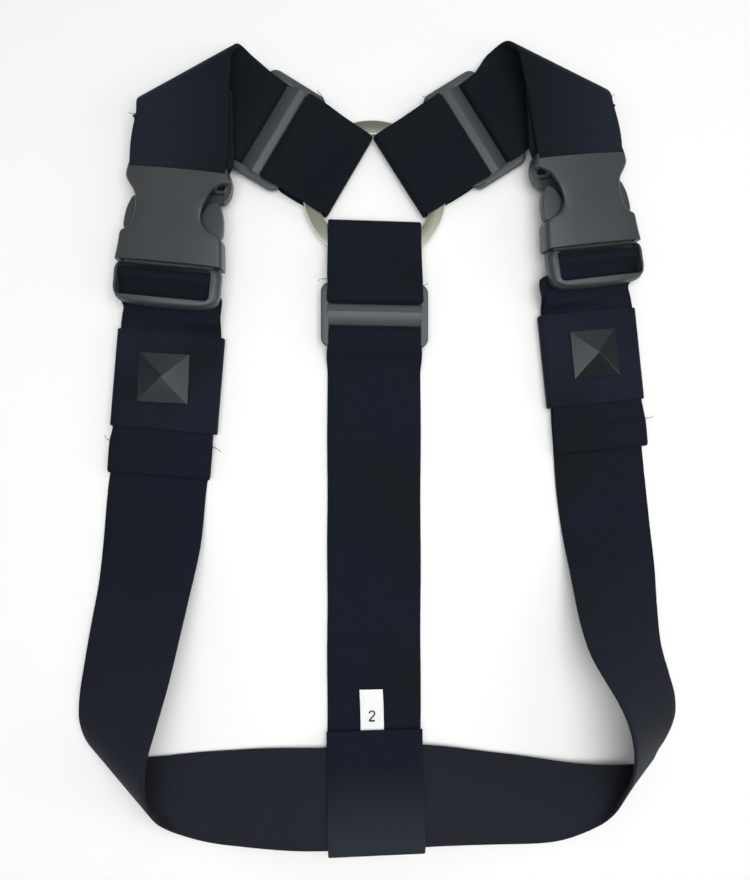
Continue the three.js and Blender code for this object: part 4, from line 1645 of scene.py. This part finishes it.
@dataclass
class LowerStrap:
    """The strap round the waist: tail, keeper, buckle bar, side, corner and sleeve, twice."""

    bench: Bench
    palette: Palette
    sizes: BuckleSizes = field(default_factory=BuckleSizes)
    slot_share: float = 0.965
    tail_share: float = 1.04
    hem: float = 13.5

    def end(self, side: Side) -> list[Section]:
        """Gives one end of the strap, from its hem to below the keeper.

        Args:
            side: Which end.

        Returns:
            The cross-sections.
        """
        sizes, keeper, place = self.sizes, KEEPERS[side], BUCKLES[side]
        outward = side.value
        held = frame_at(keeper.x, keeper.y, 0, keeper.heading)
        frame = sizes.frame(side)
        edge = KEEPER_LENGTH / 2 + 2
        lower = KEEPER_THICK + GAP + STRAP_THICK / 2
        upper = lower + LAYER
        bar_at, mid = sizes.middle_bar_at, sizes.middle_bar_height
        wrap = (sizes.middle_bar_thick + STRAP_THICK) / 2 + GAP
        reach = sizes.middle_bar / 2 + GAP + STRAP_THICK / 2
        under = TABLE + GAP
        foot, tight = sizes.foot_end, self.slot_share
        tail, wide = keeper.tail, self.tail_share
        hem = TABLE + LAYER
        shift = -place.strap_shift
        return [
            *run(held, [
                (tail - self.hem, hem + 0.1, wide),
                (tail - 3, hem, wide),
                (tail - 0.9, hem + 0.1, wide),
                (tail - 0.1, hem + 0.9, wide),
                (tail - 0.9, hem + 1.7, wide),
                (tail - 3, hem + 1.8, wide),
                (tail - self.hem + 1, hem + 1.75, wide),
                (tail - self.hem - 3.5, hem + 0.9, wide),
                (edge + 2.5, upper, 1.02),
                (edge - 2, upper, 1.0),
                (-edge, upper, 1.0),
            ], outward, keeper.tail_shift),
            *run(frame, [(foot + 5, under + LAYER), (foot + 0.8, under + LAYER, 0.995)], outward,
                 shift - place.bulge * 0.4),
            *run(frame, [
                (foot - sizes.foot, under + LAYER, tight),
                (bar_at + reach + 1.4, mid, tight),
                (bar_at + reach * 0.6, mid + wrap * 0.85, tight),
                (bar_at, mid + wrap, tight),
                (bar_at - reach * 0.7, mid + wrap * 0.7, tight),
                (bar_at - reach, mid, tight),
                (bar_at - reach * 0.6, mid - wrap * 0.85, tight),
                (bar_at + 0.6, mid - wrap - 0.5, tight),
                (bar_at + reach + 1.2, under + 0.1, tight),
            ], outward, 1.2),
            *run(frame, [(foot - 8.2, under, 0.99)], outward, shift - place.bulge * 0.6),
            *run(frame, [(foot - 5.5, under), (foot + 1.5, under)], outward, shift - place.bulge),
            *run(held, [(-edge, lower), (edge, lower), (edge + 6, TABLE)], outward),
        ]

    def build(self) -> None:
        """Builds the strap, its hem's stitches, and dresses it."""
        left = [row.section() for row in LEFT_ROWS] + [SLEEVE.section(-HALF - 2)]
        right = [row.section() for row in RIGHT_ROWS] + [SLEEVE.section(HALF + 2)]
        left_end, right_end = self.end(Side.LEFT), self.end(Side.RIGHT)
        sections = left_end + left + right[::-1] + right_end[::-1]
        strip = Strip(settled(smooth_sections(sections, 2.4, 3)), seed=3)
        piece = self.bench.piece("waist_webbing", strip.mesh(), self.palette.webbing, Slot.WEBBING,
                                 stands_for="lower_strap")
        seam = 2 * self.hem - 0.5
        rows = [strip.seam(at, 0.06, 15) for at in (seam, strip.length - seam)]
        self.bench.piece("hem_stitches", merge(rows), self.palette.stitch, Slot.WEBBING)


@dataclass
class BackStrap:
    """The strap down the back, from the ring to the sleeve with its sewn flap."""

    bench: Bench
    palette: Palette
    label_thick: float = 0.5
    seam: float = 3.2

    def build(self) -> None:
        """Builds the strap, the flap's stitches, and dresses it."""
        frame = frame_at(RING_CENTRE.x, RING_CENTRE.y, 0, BACK_HEADING)
        near = RING_CENTRE.y - SLEEVE.y - SLEEVE.level
        far = near + 2 * SLEEVE.level
        foot = TABLE + LAYER
        lip = foot + SLEEVE.rise
        wrap = LAYER
        edge = far + STRAP_THICK / 2
        fold = []
        for angle in (-70, -35, 0, 35, 70, 100):
            turn = math.radians(angle)
            fold.append((edge - STRAP_THICK / 4 + wrap * math.cos(turn), lip + wrap * math.sin(turn)))
        over = TABLE + LAYER + GAP + self.label_thick
        loop = RingLoop(BACK_SLIDER, closest_headings())
        steps = loop.steps() + loop.off()
        steps += [
            (near - 40, TABLE),
            (near - 3, TABLE),
            (near + 1.5, TABLE + 0.1),
            (far - 1, lip - wrap - 0.35),
            *fold,
            (far - 3, lip + wrap - 0.7, 1.01),
            (near + 12, foot + wrap + 3.3, 1.015),
            (near, foot + wrap + 0.15, SLEEVE.share),
            (near - 4, over, SLEEVE.share),
            (SLEEVE.flap_end, over, SLEEVE.share),
        ]
        strip = Strip(settled(smooth_sections(run(frame, steps, 1), 2.4, 3)), seed=5)
        piece = self.bench.piece("back_webbing", strip.mesh(), self.palette.sleeve, Slot.WEBBING,
                                 stands_for="back_strap")
        row = strip.seam(strip.length - self.seam, 0.05, 16)
        self.bench.piece("flap_stitches", row, self.palette.stitch, Slot.WEBBING)


@dataclass(frozen=True)
class EdgePoint:
    """A point of a moulding's plan: a share of its length and one of its half width."""

    along: float
    edge: float


SOCKET_OUTER = [EdgePoint(*row) for row in (
    (-0.07, 0.9), (-0.03, 0.925), (0.03, 0.945), (0.08, 0.95), (0.115, 0.935), (0.15, 0.9),
    (0.2, 0.84), (0.25, 0.775), (0.29, 0.74), (0.38, 0.72), (0.5, 0.72), (0.6, 0.755),
    (0.665, 0.85), (0.7, 0.945), (0.82, 0.965), (1.0, 1.0),
)]
SOCKET_INNER = [EdgePoint(*row) for row in (
    (-0.07, 0.9), (-0.03, 0.935), (0.04, 0.98), (0.12, 0.99), (0.19, 0.965), (0.25, 0.9),
    (0.3, 0.76), (0.4, 0.59), (0.5, 0.565), (0.58, 0.61), (0.64, 0.73), (0.69, 0.92), (0.82, 0.965),
    (1.0, 1.0),
)]
THUMB_CUT = [EdgePoint(*row) for row in (
    (0.03, 1.3), (0.045, 1.0), (0.085, 0.92), (0.117, 0.824), (0.165, 0.71), (0.23, 0.64),
    (0.3, 0.59), (0.39, 0.54), (0.476, 0.525), (0.55, 0.57), (0.61, 0.67), (0.65, 0.78),
    (0.67, 1.3),
)]
PRONG_EDGE = [EdgePoint(*row) for row in (
    (0.955, 0.82), (0.9, 0.64), (0.76, 0.6), (0.69, 0.68), (0.675, 0.86), (0.64, 0.915),
    (0.5, 0.915), (0.38, 0.87), (0.285, 0.78), (0.3, 0.65), (0.45, 0.5), (0.6, 0.45), (0.8, 0.42),
    (0.9, 0.36),
)]


@dataclass
class Buckle:
    """One side-release buckle: the socket's shell and the pronged frame that is pushed in."""

    bench: Bench
    palette: Palette
    side: Side
    sizes: BuckleSizes = field(default_factory=BuckleSizes)
    crown: float = 1.4
    round_top: float = 2.3
    round_foot: float = 1.0
    groove: float = 0.45
    station: float = 0.55
    cut_floor: float = 5.4
    cut_edge: float = 0.02

    def build(self) -> None:
        """Builds both mouldings and dresses them."""
        frame = self.sizes.frame(self.side)
        word = self.side.word
        for name, mesh, node in (
            (f"buckle_socket_shell_{word}", self.socket(), f"buckle_socket_{word}"),
            (f"buckle_prong_frame_{word}", self.prongs(), f"buckle_prongs_{word}"),
        ):
            self.bench.piece(name, mesh, self.palette.plastic, Slot.PLASTIC, frame, 32.0, node)

    def reach(self, rows: Sequence[EdgePoint], along: float) -> float:
        """Reads a smooth edge at one place along the socket.

        Args:
            rows: The edge's points.
            along: The place, in mm.

        Returns:
            How far the edge lies from the middle line, in mm.
        """
        line = smooth_line([(r.along * self.sizes.length, r.edge * self.sizes.half_width)
                            for r in rows], 8)
        for (x0, y0), (x1, y1) in zip(line, line[1:]):
            if x0 <= along <= x1:
                share = (along - x0) / (x1 - x0) if x1 > x0 else 0.0
                return y0 + (y1 - y0) * share
        return line[-1][1] if along > line[-1][0] else line[0][1]

    def crown_at(self, x: float) -> float:
        """Gives the crowned top's height at a place across the socket."""
        return self.sizes.thick - self.crown * (x / self.sizes.half_width) ** 2

    def shell_section(self, left: float, right: float) -> list[Point]:
        """Lists one closed cross-section of the socket, with its crowned top.

        Args:
            left: How far the -x edge lies out.
            right: How far the +x edge lies out.

        Returns:
            The section's points, in x and z.
        """
        half = []
        for sign, reach in ((1, right), (-1, left)):
            shoulder = self.crown_at(reach)
            foot = [(reach - self.round_foot * (1 - math.sin(a)), self.round_foot * (1 - math.cos(a)))
                    for a in (0, math.radians(45), math.radians(90))]
            break_at = shoulder - self.round_top - 0.5
            notch = [
                (reach, break_at - 0.55),
                (reach - self.groove, break_at - 0.4),
                (reach - self.groove, break_at - 0.05),
                (reach, break_at + 0.1),
            ]
            lip = []
            for k in range(6):
                angle = math.radians(18 * k)
                lip.append((reach - self.round_top * (1 - math.cos(angle)),
                            shoulder - self.round_top * (1 - math.sin(angle))))
            half.append([(sign * x, z) for x, z in foot + notch + lip])
        right_half, left_half = half
        span_right, span_left = right - self.round_top, left - self.round_top
        top_line = []
        for k in range(1, 12):
            x = span_right - (span_right + span_left) * k / 12
            top_line.append((x, self.crown_at(x)))
        return right_half + top_line + left_half[::-1]

    def socket(self) -> bmesh.types.BMesh:
        """Builds the socket's shell, hollow for the prongs and slotted for the strap.

        Returns:
            The mesh, in the buckle's frame.
        """
        sizes = self.sizes
        mesh = bmesh.new()
        rings = []
        start = -0.07 * sizes.length
        count = math.ceil((sizes.length - start) / self.station)
        outer_is_right = self.side is Side.LEFT
        for i in range(count + 1):
            along = start + (sizes.length - start) * i / count
            outer, inner = self.reach(SOCKET_OUTER, along), self.reach(SOCKET_INNER, along)
            left, right = (inner, outer) if outer_is_right else (outer, inner)
            section = self.shell_section(left, right)
            rings.append([mesh.verts.new((x, along, z)) for x, z in section])
        loft(mesh, rings)
        mid, wrap = sizes.bar_height, sizes.bar_wrap
        roof = mid + wrap + STRAP_THICK / 2 + GAP
        end = sizes.bar_setback + wrap + STRAP_THICK / 2 + GAP
        half = sizes.strap_half
        slot = block((-half, -9, -1), (half, end, roof))
        front = block((-half, -9, roof - 1), (half, 0, sizes.thick + 3))
        mouth = sizes.mouth_half + sizes.clearance
        hollow = block((-mouth, end + sizes.web, sizes.wall),
                       (mouth, sizes.length + 1, sizes.thick - sizes.wall))
        for tool in (slot, front, hollow, self.thumb_cut()):
            mesh = cut_away(mesh, tool)
        rod = bar(half + 0.4, sizes.bar_setback, mid, sizes.bar, sizes.bar)
        return merge([mesh, rod])

    def thumb_cut(self) -> bmesh.types.BMesh:
        """Builds the tool that opens the roof over the inner spring.

        Returns:
            The tool, in the buckle's frame.
        """
        inward = -self.side.value
        line = smooth_line([(r.edge * self.sizes.half_width, r.along * self.sizes.length)
                            for r in THUMB_CUT], 4)
        outline = [(inward * x, y) for x, y in line]
        return plate([outline], self.cut_floor, 2 * self.sizes.thick, self.cut_edge)

    def prong_outline(self) -> list[Point]:
        """Lists the pronged half's plan, smooth round the sprung pads.

        Returns:
            The outline, in the buckle's frame.
        """
        sizes = self.sizes
        start, foot = sizes.length, sizes.foot_end
        half, wide = sizes.mouth_half, sizes.frame_half
        spring = smooth_line([(r.edge * sizes.half_width, r.along * start) for r in PRONG_EDGE], 4)
        guide = [(3, 0.86 * start), (3, 0.44 * start), (2.4, 0.39 * start), (0, 0.36 * start)]
        corner = smooth_line([
            (wide, start + 3), (wide + 0.1, start + 9), (wide - 0.1, foot - 6.5),
            (wide - 1.6, foot - 2.9), (wide - 5.2, foot - 1.1), (wide - 12, foot - 0.4), (0, foot),
        ], 6)
        right = [(half, start - 1.5), *spring, *guide]
        left = [(-x, y) for x, y in right[::-1] if x > 0]
        rim = [(half, start + 0.5), (wide - 1.4, start + 0.6), (wide - 0.4, start + 1.2)] + corner
        rim_left = [(-x, y) for x, y in rim[::-1] if x > 0]
        return right + left + rim_left[::-1] + rim[::-1][1:]

    def prongs(self) -> bmesh.types.BMesh:
        """Builds the prongs and their frame with its window, foot and middle bar.

        Returns:
            The mesh, in the buckle's frame.
        """
        sizes = self.sizes
        low = sizes.wall + sizes.clearance
        high = sizes.thick - sizes.wall - sizes.clearance
        start, foot = sizes.length, sizes.foot_end
        shift = self.side.value * sizes.window_shift
        half, sill = sizes.strap_half, foot - sizes.foot
        window = [(x + shift, y) for x, y in
                  rounded_rectangle((0.5 - half, start + 1.6), (half - 0.5, sill), 2.4)]
        body = plate([self.prong_outline(), window], low, high - 1.4, 0.7)
        roof = TABLE + GAP + LAYER + STRAP_THICK / 2 + GAP
        body = cut_away(body, block((-half, sill - 1.5, -1), (half, foot + 1, roof)))
        opening = plate([window], low, high + 4, self.cut_edge)
        lip = cut_away(self.rim(high - 2.2, high + 0.5), opening)
        rod = bar(half + 0.6, sizes.middle_bar_at, sizes.middle_bar_height, sizes.middle_bar,
                  sizes.middle_bar_thick)
        return merge([body, lip, rod])

    def rim(self, low: float, high: float) -> bmesh.types.BMesh:
        """Builds the frame's raised rim, whose sides slope in towards the top.

        Args:
            low: Its underside.
            high: Its top.

        Returns:
            The solid rim, before its window is cut.
        """
        sizes = self.sizes
        start, foot = sizes.length, sizes.foot_end
        wide = sizes.frame_half
        right = smooth_line([
            (0, start + 0.6), (wide - 4, start + 0.6), (wide - 1.2, start + 1.2), (wide, start + 3.6),
            (wide + 0.1, start + 9), (wide - 0.2, foot - 6.5), (wide - 1.6, foot - 3.2),
            (wide - 5.2, foot - 1.4), (wide - 12, foot - 0.5), (0, foot - 0.1),
        ], 5)
        outline = right + [(-x, y) for x, y in right[-2:0:-1]]
        middle = (start + foot) / 2
        mesh = bmesh.new()
        rings = []
        for share, inset, drift in ((0.0, 0.0, 0.0), (0.35, 0.15, 0.1), (0.75, 0.7, 0.45),
                                    (0.92, 1.0, 0.7), (1.0, 1.35, 0.8)):
            z = low + (high - low) * share
            ring = []
            for x, y in outline:
                across = x * (1 - inset / wide) + self.side.value * drift
                along = middle + (y - middle) * (1 - inset / 11)
                ring.append(mesh.verts.new((across, along, z)))
            rings.append(ring)
        loft(mesh, rings)
        return mesh


@dataclass
class Keeper:
    """A sleeve of webbing that holds the strap's tail, with a pyramid stud on it."""

    bench: Bench
    palette: Palette
    side: Side
    length: float = KEEPER_LENGTH
    thick: float = KEEPER_THICK
    corner: float = 1.9
    stud_side: float = 25.0
    stud_height: float = 5.3
    stud_base: float = 0.8

    def build(self) -> None:
        """Builds the sleeve and its stud."""
        place = KEEPERS[self.side]
        word = self.side.word
        frame = frame_at(place.x, place.y, 0, place.heading)
        inner = HALF + place.tail_shift + GAP
        half = inner + self.thick / 2
        low = self.thick / 2
        high = self.thick + 2 * LAYER + GAP + self.thick / 2
        line = rounded_rectangle((-half, low), (half, high), self.corner, 5)
        middle = len(line) - 6
        line = line[middle:] + line[:middle]
        line = [(2.0, low)] + line + [(-2.0, low), (1.4, low)]
        sections = []
        for x, z in line:
            sections.append((
                frame @ Vector((x, -self.length / 2, z)),
                frame @ Vector((x, self.length / 2, z)),
            ))
        strip = Strip(self.even(sections), self.thick, across=14, seed=21 + self.side.value)
        sleeve = self.bench.piece(f"keeper_sleeve_{word}", strip.mesh(), self.palette.keeper,
                                  Slot.WEBBING, stands_for=f"keeper_{word}")
        self.stud(place, high + self.thick / 2 + GAP)

    def even(self, sections: list[Section]) -> list[Section]:
        """Adds cross-sections on the sleeve's long flat sides, without rounding them.

        Args:
            sections: The sleeve's cross-sections.

        Returns:
            The finer list.
        """
        finer = []
        for (a0, b0), (a1, b1) in zip(sections, sections[1:]):
            steps = max(1, math.ceil((a1 - a0).length / 2.5))
            for step in range(steps):
                finer.append((a0.lerp(a1, step / steps), b0.lerp(b1, step / steps)))
        finer.append(sections[-1])
        return finer

    def stud(self, place: KeeperPlace, foot: float) -> None:
        """Builds the pyramid stud.

        Args:
            place: Where the keeper and its stud lie.
            foot: The stud's underside, in mm.
        """
        half = self.stud_side / 2
        mesh = bmesh.new()
        base = [mesh.verts.new((x, y, 0))
                for x, y in ((-half, -half), (half, -half), (half, half), (-half, half))]
        brow = [mesh.verts.new((v.co.x, v.co.y, self.stud_base * 0.5)) for v in base]
        tip = mesh.verts.new((0, 0, self.stud_base + self.stud_height))
        mesh.faces.new(base[::-1])
        for k in range(4):
            after = (k + 1) % 4
            mesh.faces.new((base[k], base[after], brow[after], brow[k]))
            mesh.faces.new((brow[k], brow[after], tip))
        edges = [e for e in mesh.edges if any(v.co.z > 0.1 for v in e.verts)]
        bmesh.ops.bevel(mesh, geom=edges, offset=0.16, segments=2, profile=0.5, affect="EDGES")
        frame = frame_at(place.stud_x, place.stud_y, foot, place.stud_heading)
        word = self.side.word
        self.bench.piece(f"pyramid_stud_{word}", mesh, self.palette.stud, Slot.STUD, frame, 4.0,
                         f"stud_{word}")


@dataclass
class SizeLabel:
    """The satin size label that is sewn in under the flap, with a plain printed figure."""

    bench: Bench
    palette: Palette
    width: float = 12.2
    length: float = 24.0
    thick: float = 0.45
    shift: float = 1.2
    figure_height: float = 5.4

    def build(self) -> None:
        """Builds the ribbon and the figure on it."""
        foot = LAYER + self.thick / 2 - 0.1
        frame = frame_at(RING_CENTRE.x, RING_CENTRE.y, 0, BACK_HEADING)
        half = self.width / 2
        sections = []
        for share, rise, lean in ((-0.125, 0.0, 0.0), (0.12, 0.1, 0.0), (0.3, 0.5, 0.15),
                                  (0.55, 1.0, 0.3), (0.75, 0.9, 0.5), (0.875, 0.35, 0.6)):
            along = SLEEVE.flap_end - self.length * share
            sections.append((
                frame @ Vector((self.shift + lean + half, along, foot + rise)),
                frame @ Vector((self.shift + lean - half, along, foot + rise)),
            ))
        strip = Strip(smooth_sections(sections, 0.8, 4), self.thick, across=10, waver=0.05, seed=31)
        ribbon = self.bench.piece("size_ribbon", strip.mesh(), self.palette.satin, Slot.LABEL,
                                  stands_for="size_label")
        self.figure(strip)

    def figure(self, strip: Strip) -> None:
        """Prints a plain figure two on the ribbon.

        Args:
            strip: The ribbon's strip.
        """
        at = self.length * (0.125 + 0.3)
        point, normal = strip.spot(at, 0.5)
        size = self.figure_height
        arc = [(-0.26, 0.3), (-0.2, 0.45), (0.0, 0.52), (0.2, 0.43), (0.24, 0.25), (0.12, 0.02),
               (-0.1, -0.22), (-0.27, -0.42)]
        line = smooth_line(arc, 5)
        stroke = [Vector((x * size, y * size, 0)) for x, y in line]
        foot = [Vector((x * size, -0.45 * size, 0)) for x in (-0.29, -0.1, 0.1, 0.28)]
        parts = []
        for path, radius in ((stroke, 0.42), (foot, 0.5)):
            sections = []
            for i, spot in enumerate(path):
                ahead = path[min(i + 1, len(path) - 1)] - path[max(i - 1, 0)]
                aside = Vector((-ahead.y, ahead.x, 0)).normalized() * radius
                sections.append((spot - aside, spot + aside))
            parts.append(Strip(sections, 0.12, across=2, waver=0.0).mesh())
        mesh = merge(parts)
        tilt = Vector((0, 0, 1)).rotation_difference(normal).to_matrix().to_4x4()
        frame = Matrix.Translation(point + normal * 0.06) @ tilt
        self.bench.piece("size_figure", mesh, self.palette.print_ink, Slot.LABEL, frame)


@dataclass
class Threads:
    """The cut thread ends at the straps' sewn edges."""

    bench: Bench
    palette: Palette
    ends: tuple[ThreadEnd, ...] = (
        ThreadEnd(-121.2, 186.1, 167, 3.2, 0.4, 9.2),
        ThreadEnd(-28.9, 200.5, 123, 3.2, 0.5, 8.0),
        ThreadEnd(-26.9, 106.8, -160, 3.8, -0.6, 7.6),
        ThreadEnd(124.3, 206.2, 43, 1.9, 0.6, 9.2),
        ThreadEnd(124.6, 203.0, -55, 1.9, -0.4, 9.2),
        ThreadEnd(25.7, 200.3, 140, 3.4, -0.5, 8.0),
        ThreadEnd(54.4, 158.0, 18, 3.4, 0.4, 7.0),
        ThreadEnd(22.9, 104.8, 21, 3.6, -0.5, 7.6),
        ThreadEnd(-134.5, 23.8, 132, 4.0, 0.6, 4.4),
        ThreadEnd(-83.6, 20.8, -35, 4.9, 0.5, 4.4),
        ThreadEnd(145.0, 37.5, 18, 4.4, -0.5, 4.4),
    )

    def build(self) -> None:
        """Builds all the ends as one piece."""
        mesh = merge([end.mesh() for end in self.ends])
        self.bench.piece("thread_ends", mesh, self.palette.thread, Slot.WEBBING)


@dataclass
class Studio:
    """The pale table, the soft lights and the camera above the harness."""

    bench: Bench
    eye: Vector = field(default_factory=lambda: Vector((-35.17, 0.0, 386.5)))
    lean: float = 5.2
    focal_px: float = 740.0
    frame_px: tuple[int, int] = (750, 880)
    principal_px: Point = (376.0, 488.0)
    sensor: float = 36.0
    glow: float = 0.15

    def build(self) -> None:
        """Builds the table, the lights, the surroundings and the camera."""
        self.table()
        self.light("overhead_softbox", (0.04, -0.08, 0.95), (1.35, 0.87), 11.8)
        self.light("left_fill", (-1.25, -0.1, 0.75), (0.6, 0.8), 1.5)
        self.light("right_fill", (1.3, -0.15, 0.62), (0.6, 0.8), 4.5)
        self.light("rear_fill", (0.1, 1.2, 0.85), (1.0, 0.5), 2.0)
        self.surroundings()
        self.camera()
        view = bpy.context.scene.view_settings
        view.view_transform = "Standard"
        view.look = "None"
        view.exposure = 0.0

    def table(self) -> None:
        """Builds the table top, just under the harness."""
        mesh = bmesh.new()
        bmesh.ops.create_grid(mesh, x_segments=8, y_segments=8, size=1.6)
        data = bpy.data.meshes.new("table_top")
        mesh.to_mesh(data)
        mesh.free()
        data.materials.append(TableFinish().build())
        top = bpy.data.objects.new("table_top", data)
        top.location.z = -0.0002
        bpy.context.scene.collection.objects.link(top)

    def light(self, name: str, place: Sequence[float], size: Point, power: float) -> None:
        """Hangs one soft light, aimed at the harness's middle.

        Args:
            name: The light's name.
            place: Where it hangs, in metres.
            size: Its width and length, in metres.
            power: Its power, in watts.
        """
        lamp = bpy.data.lights.new(name, "AREA")
        lamp.shape = "RECTANGLE"
        lamp.size, lamp.size_y = size
        lamp.energy = power
        holder = bpy.data.objects.new(name, lamp)
        holder.location = place
        holder.rotation_mode = "QUATERNION"
        holder.rotation_quaternion = Vector(place).to_track_quat("Z", "Y")
        bpy.context.scene.collection.objects.link(holder)

    def surroundings(self) -> None:
        """Sets an even pale glow around the table."""
        world = bpy.data.worlds.new("studio")
        world.use_nodes = True
        glow = world.node_tree.nodes["Background"]
        glow.inputs["Color"].default_value = (1.0, 1.0, 1.0, 1)
        glow.inputs["Strength"].default_value = self.glow
        bpy.context.scene.world = world

    def camera(self) -> None:
        """Sets the camera at the photograph's angle and frame."""
        data = bpy.data.cameras.new("camera")
        data.sensor_fit = "HORIZONTAL"
        data.sensor_width = self.sensor
        data.lens = self.sensor * self.focal_px / self.frame_px[0]
        data.shift_x = (self.frame_px[0] / 2 - self.principal_px[0]) / self.frame_px[0]
        data.shift_y = (self.principal_px[1] - self.frame_px[1] / 2) / self.frame_px[0]
        data.clip_start, data.clip_end = 0.01, 20.0
        lean = math.radians(self.lean)
        right = Vector((math.cos(lean), 0, math.sin(lean)))
        up = Vector((0, 1, 0))
        back = Vector((-math.sin(lean), 0, math.cos(lean)))
        turn = Matrix((right, up, back)).transposed().to_4x4()
        camera = bpy.data.objects.new("camera", data)
        camera.matrix_world = Matrix.Translation(self.bench.place(self.eye)) @ turn
        bpy.context.scene.collection.objects.link(camera)
        bpy.context.scene.camera = camera


def main() -> None:
    """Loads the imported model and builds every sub-assembly around it."""
    logging.basicConfig(level=logging.INFO, format="%(message)s")
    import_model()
    bench = Bench.from_ring(LAYER)
    palette = Palette.build()
    Studio(bench).build()
    loop = RingLoop(BACK_SLIDER, closest_headings())
    SteelRing(bench, palette, inner=loop.ring_inner).build()
    for side in Side:
        place = SHOULDERS[side]
        Slider(bench, palette, f"slider_{side.word}", place.heading, place.slider).build()
        ShoulderStrap(bench, palette, side).build()
        Buckle(bench, palette, side).build()
        Keeper(bench, palette, side).build()
    Slider(bench, palette, "slider_back", BACK_HEADING, BACK_SLIDER).build()
    BackStrap(bench, palette).build()
    LowerStrap(bench, palette).build()
    SizeLabel(bench, palette).build()
    Threads(bench, palette).build()
    LOG.info("%d pieces", bench.count)


if __name__ == "__main__":
    main()
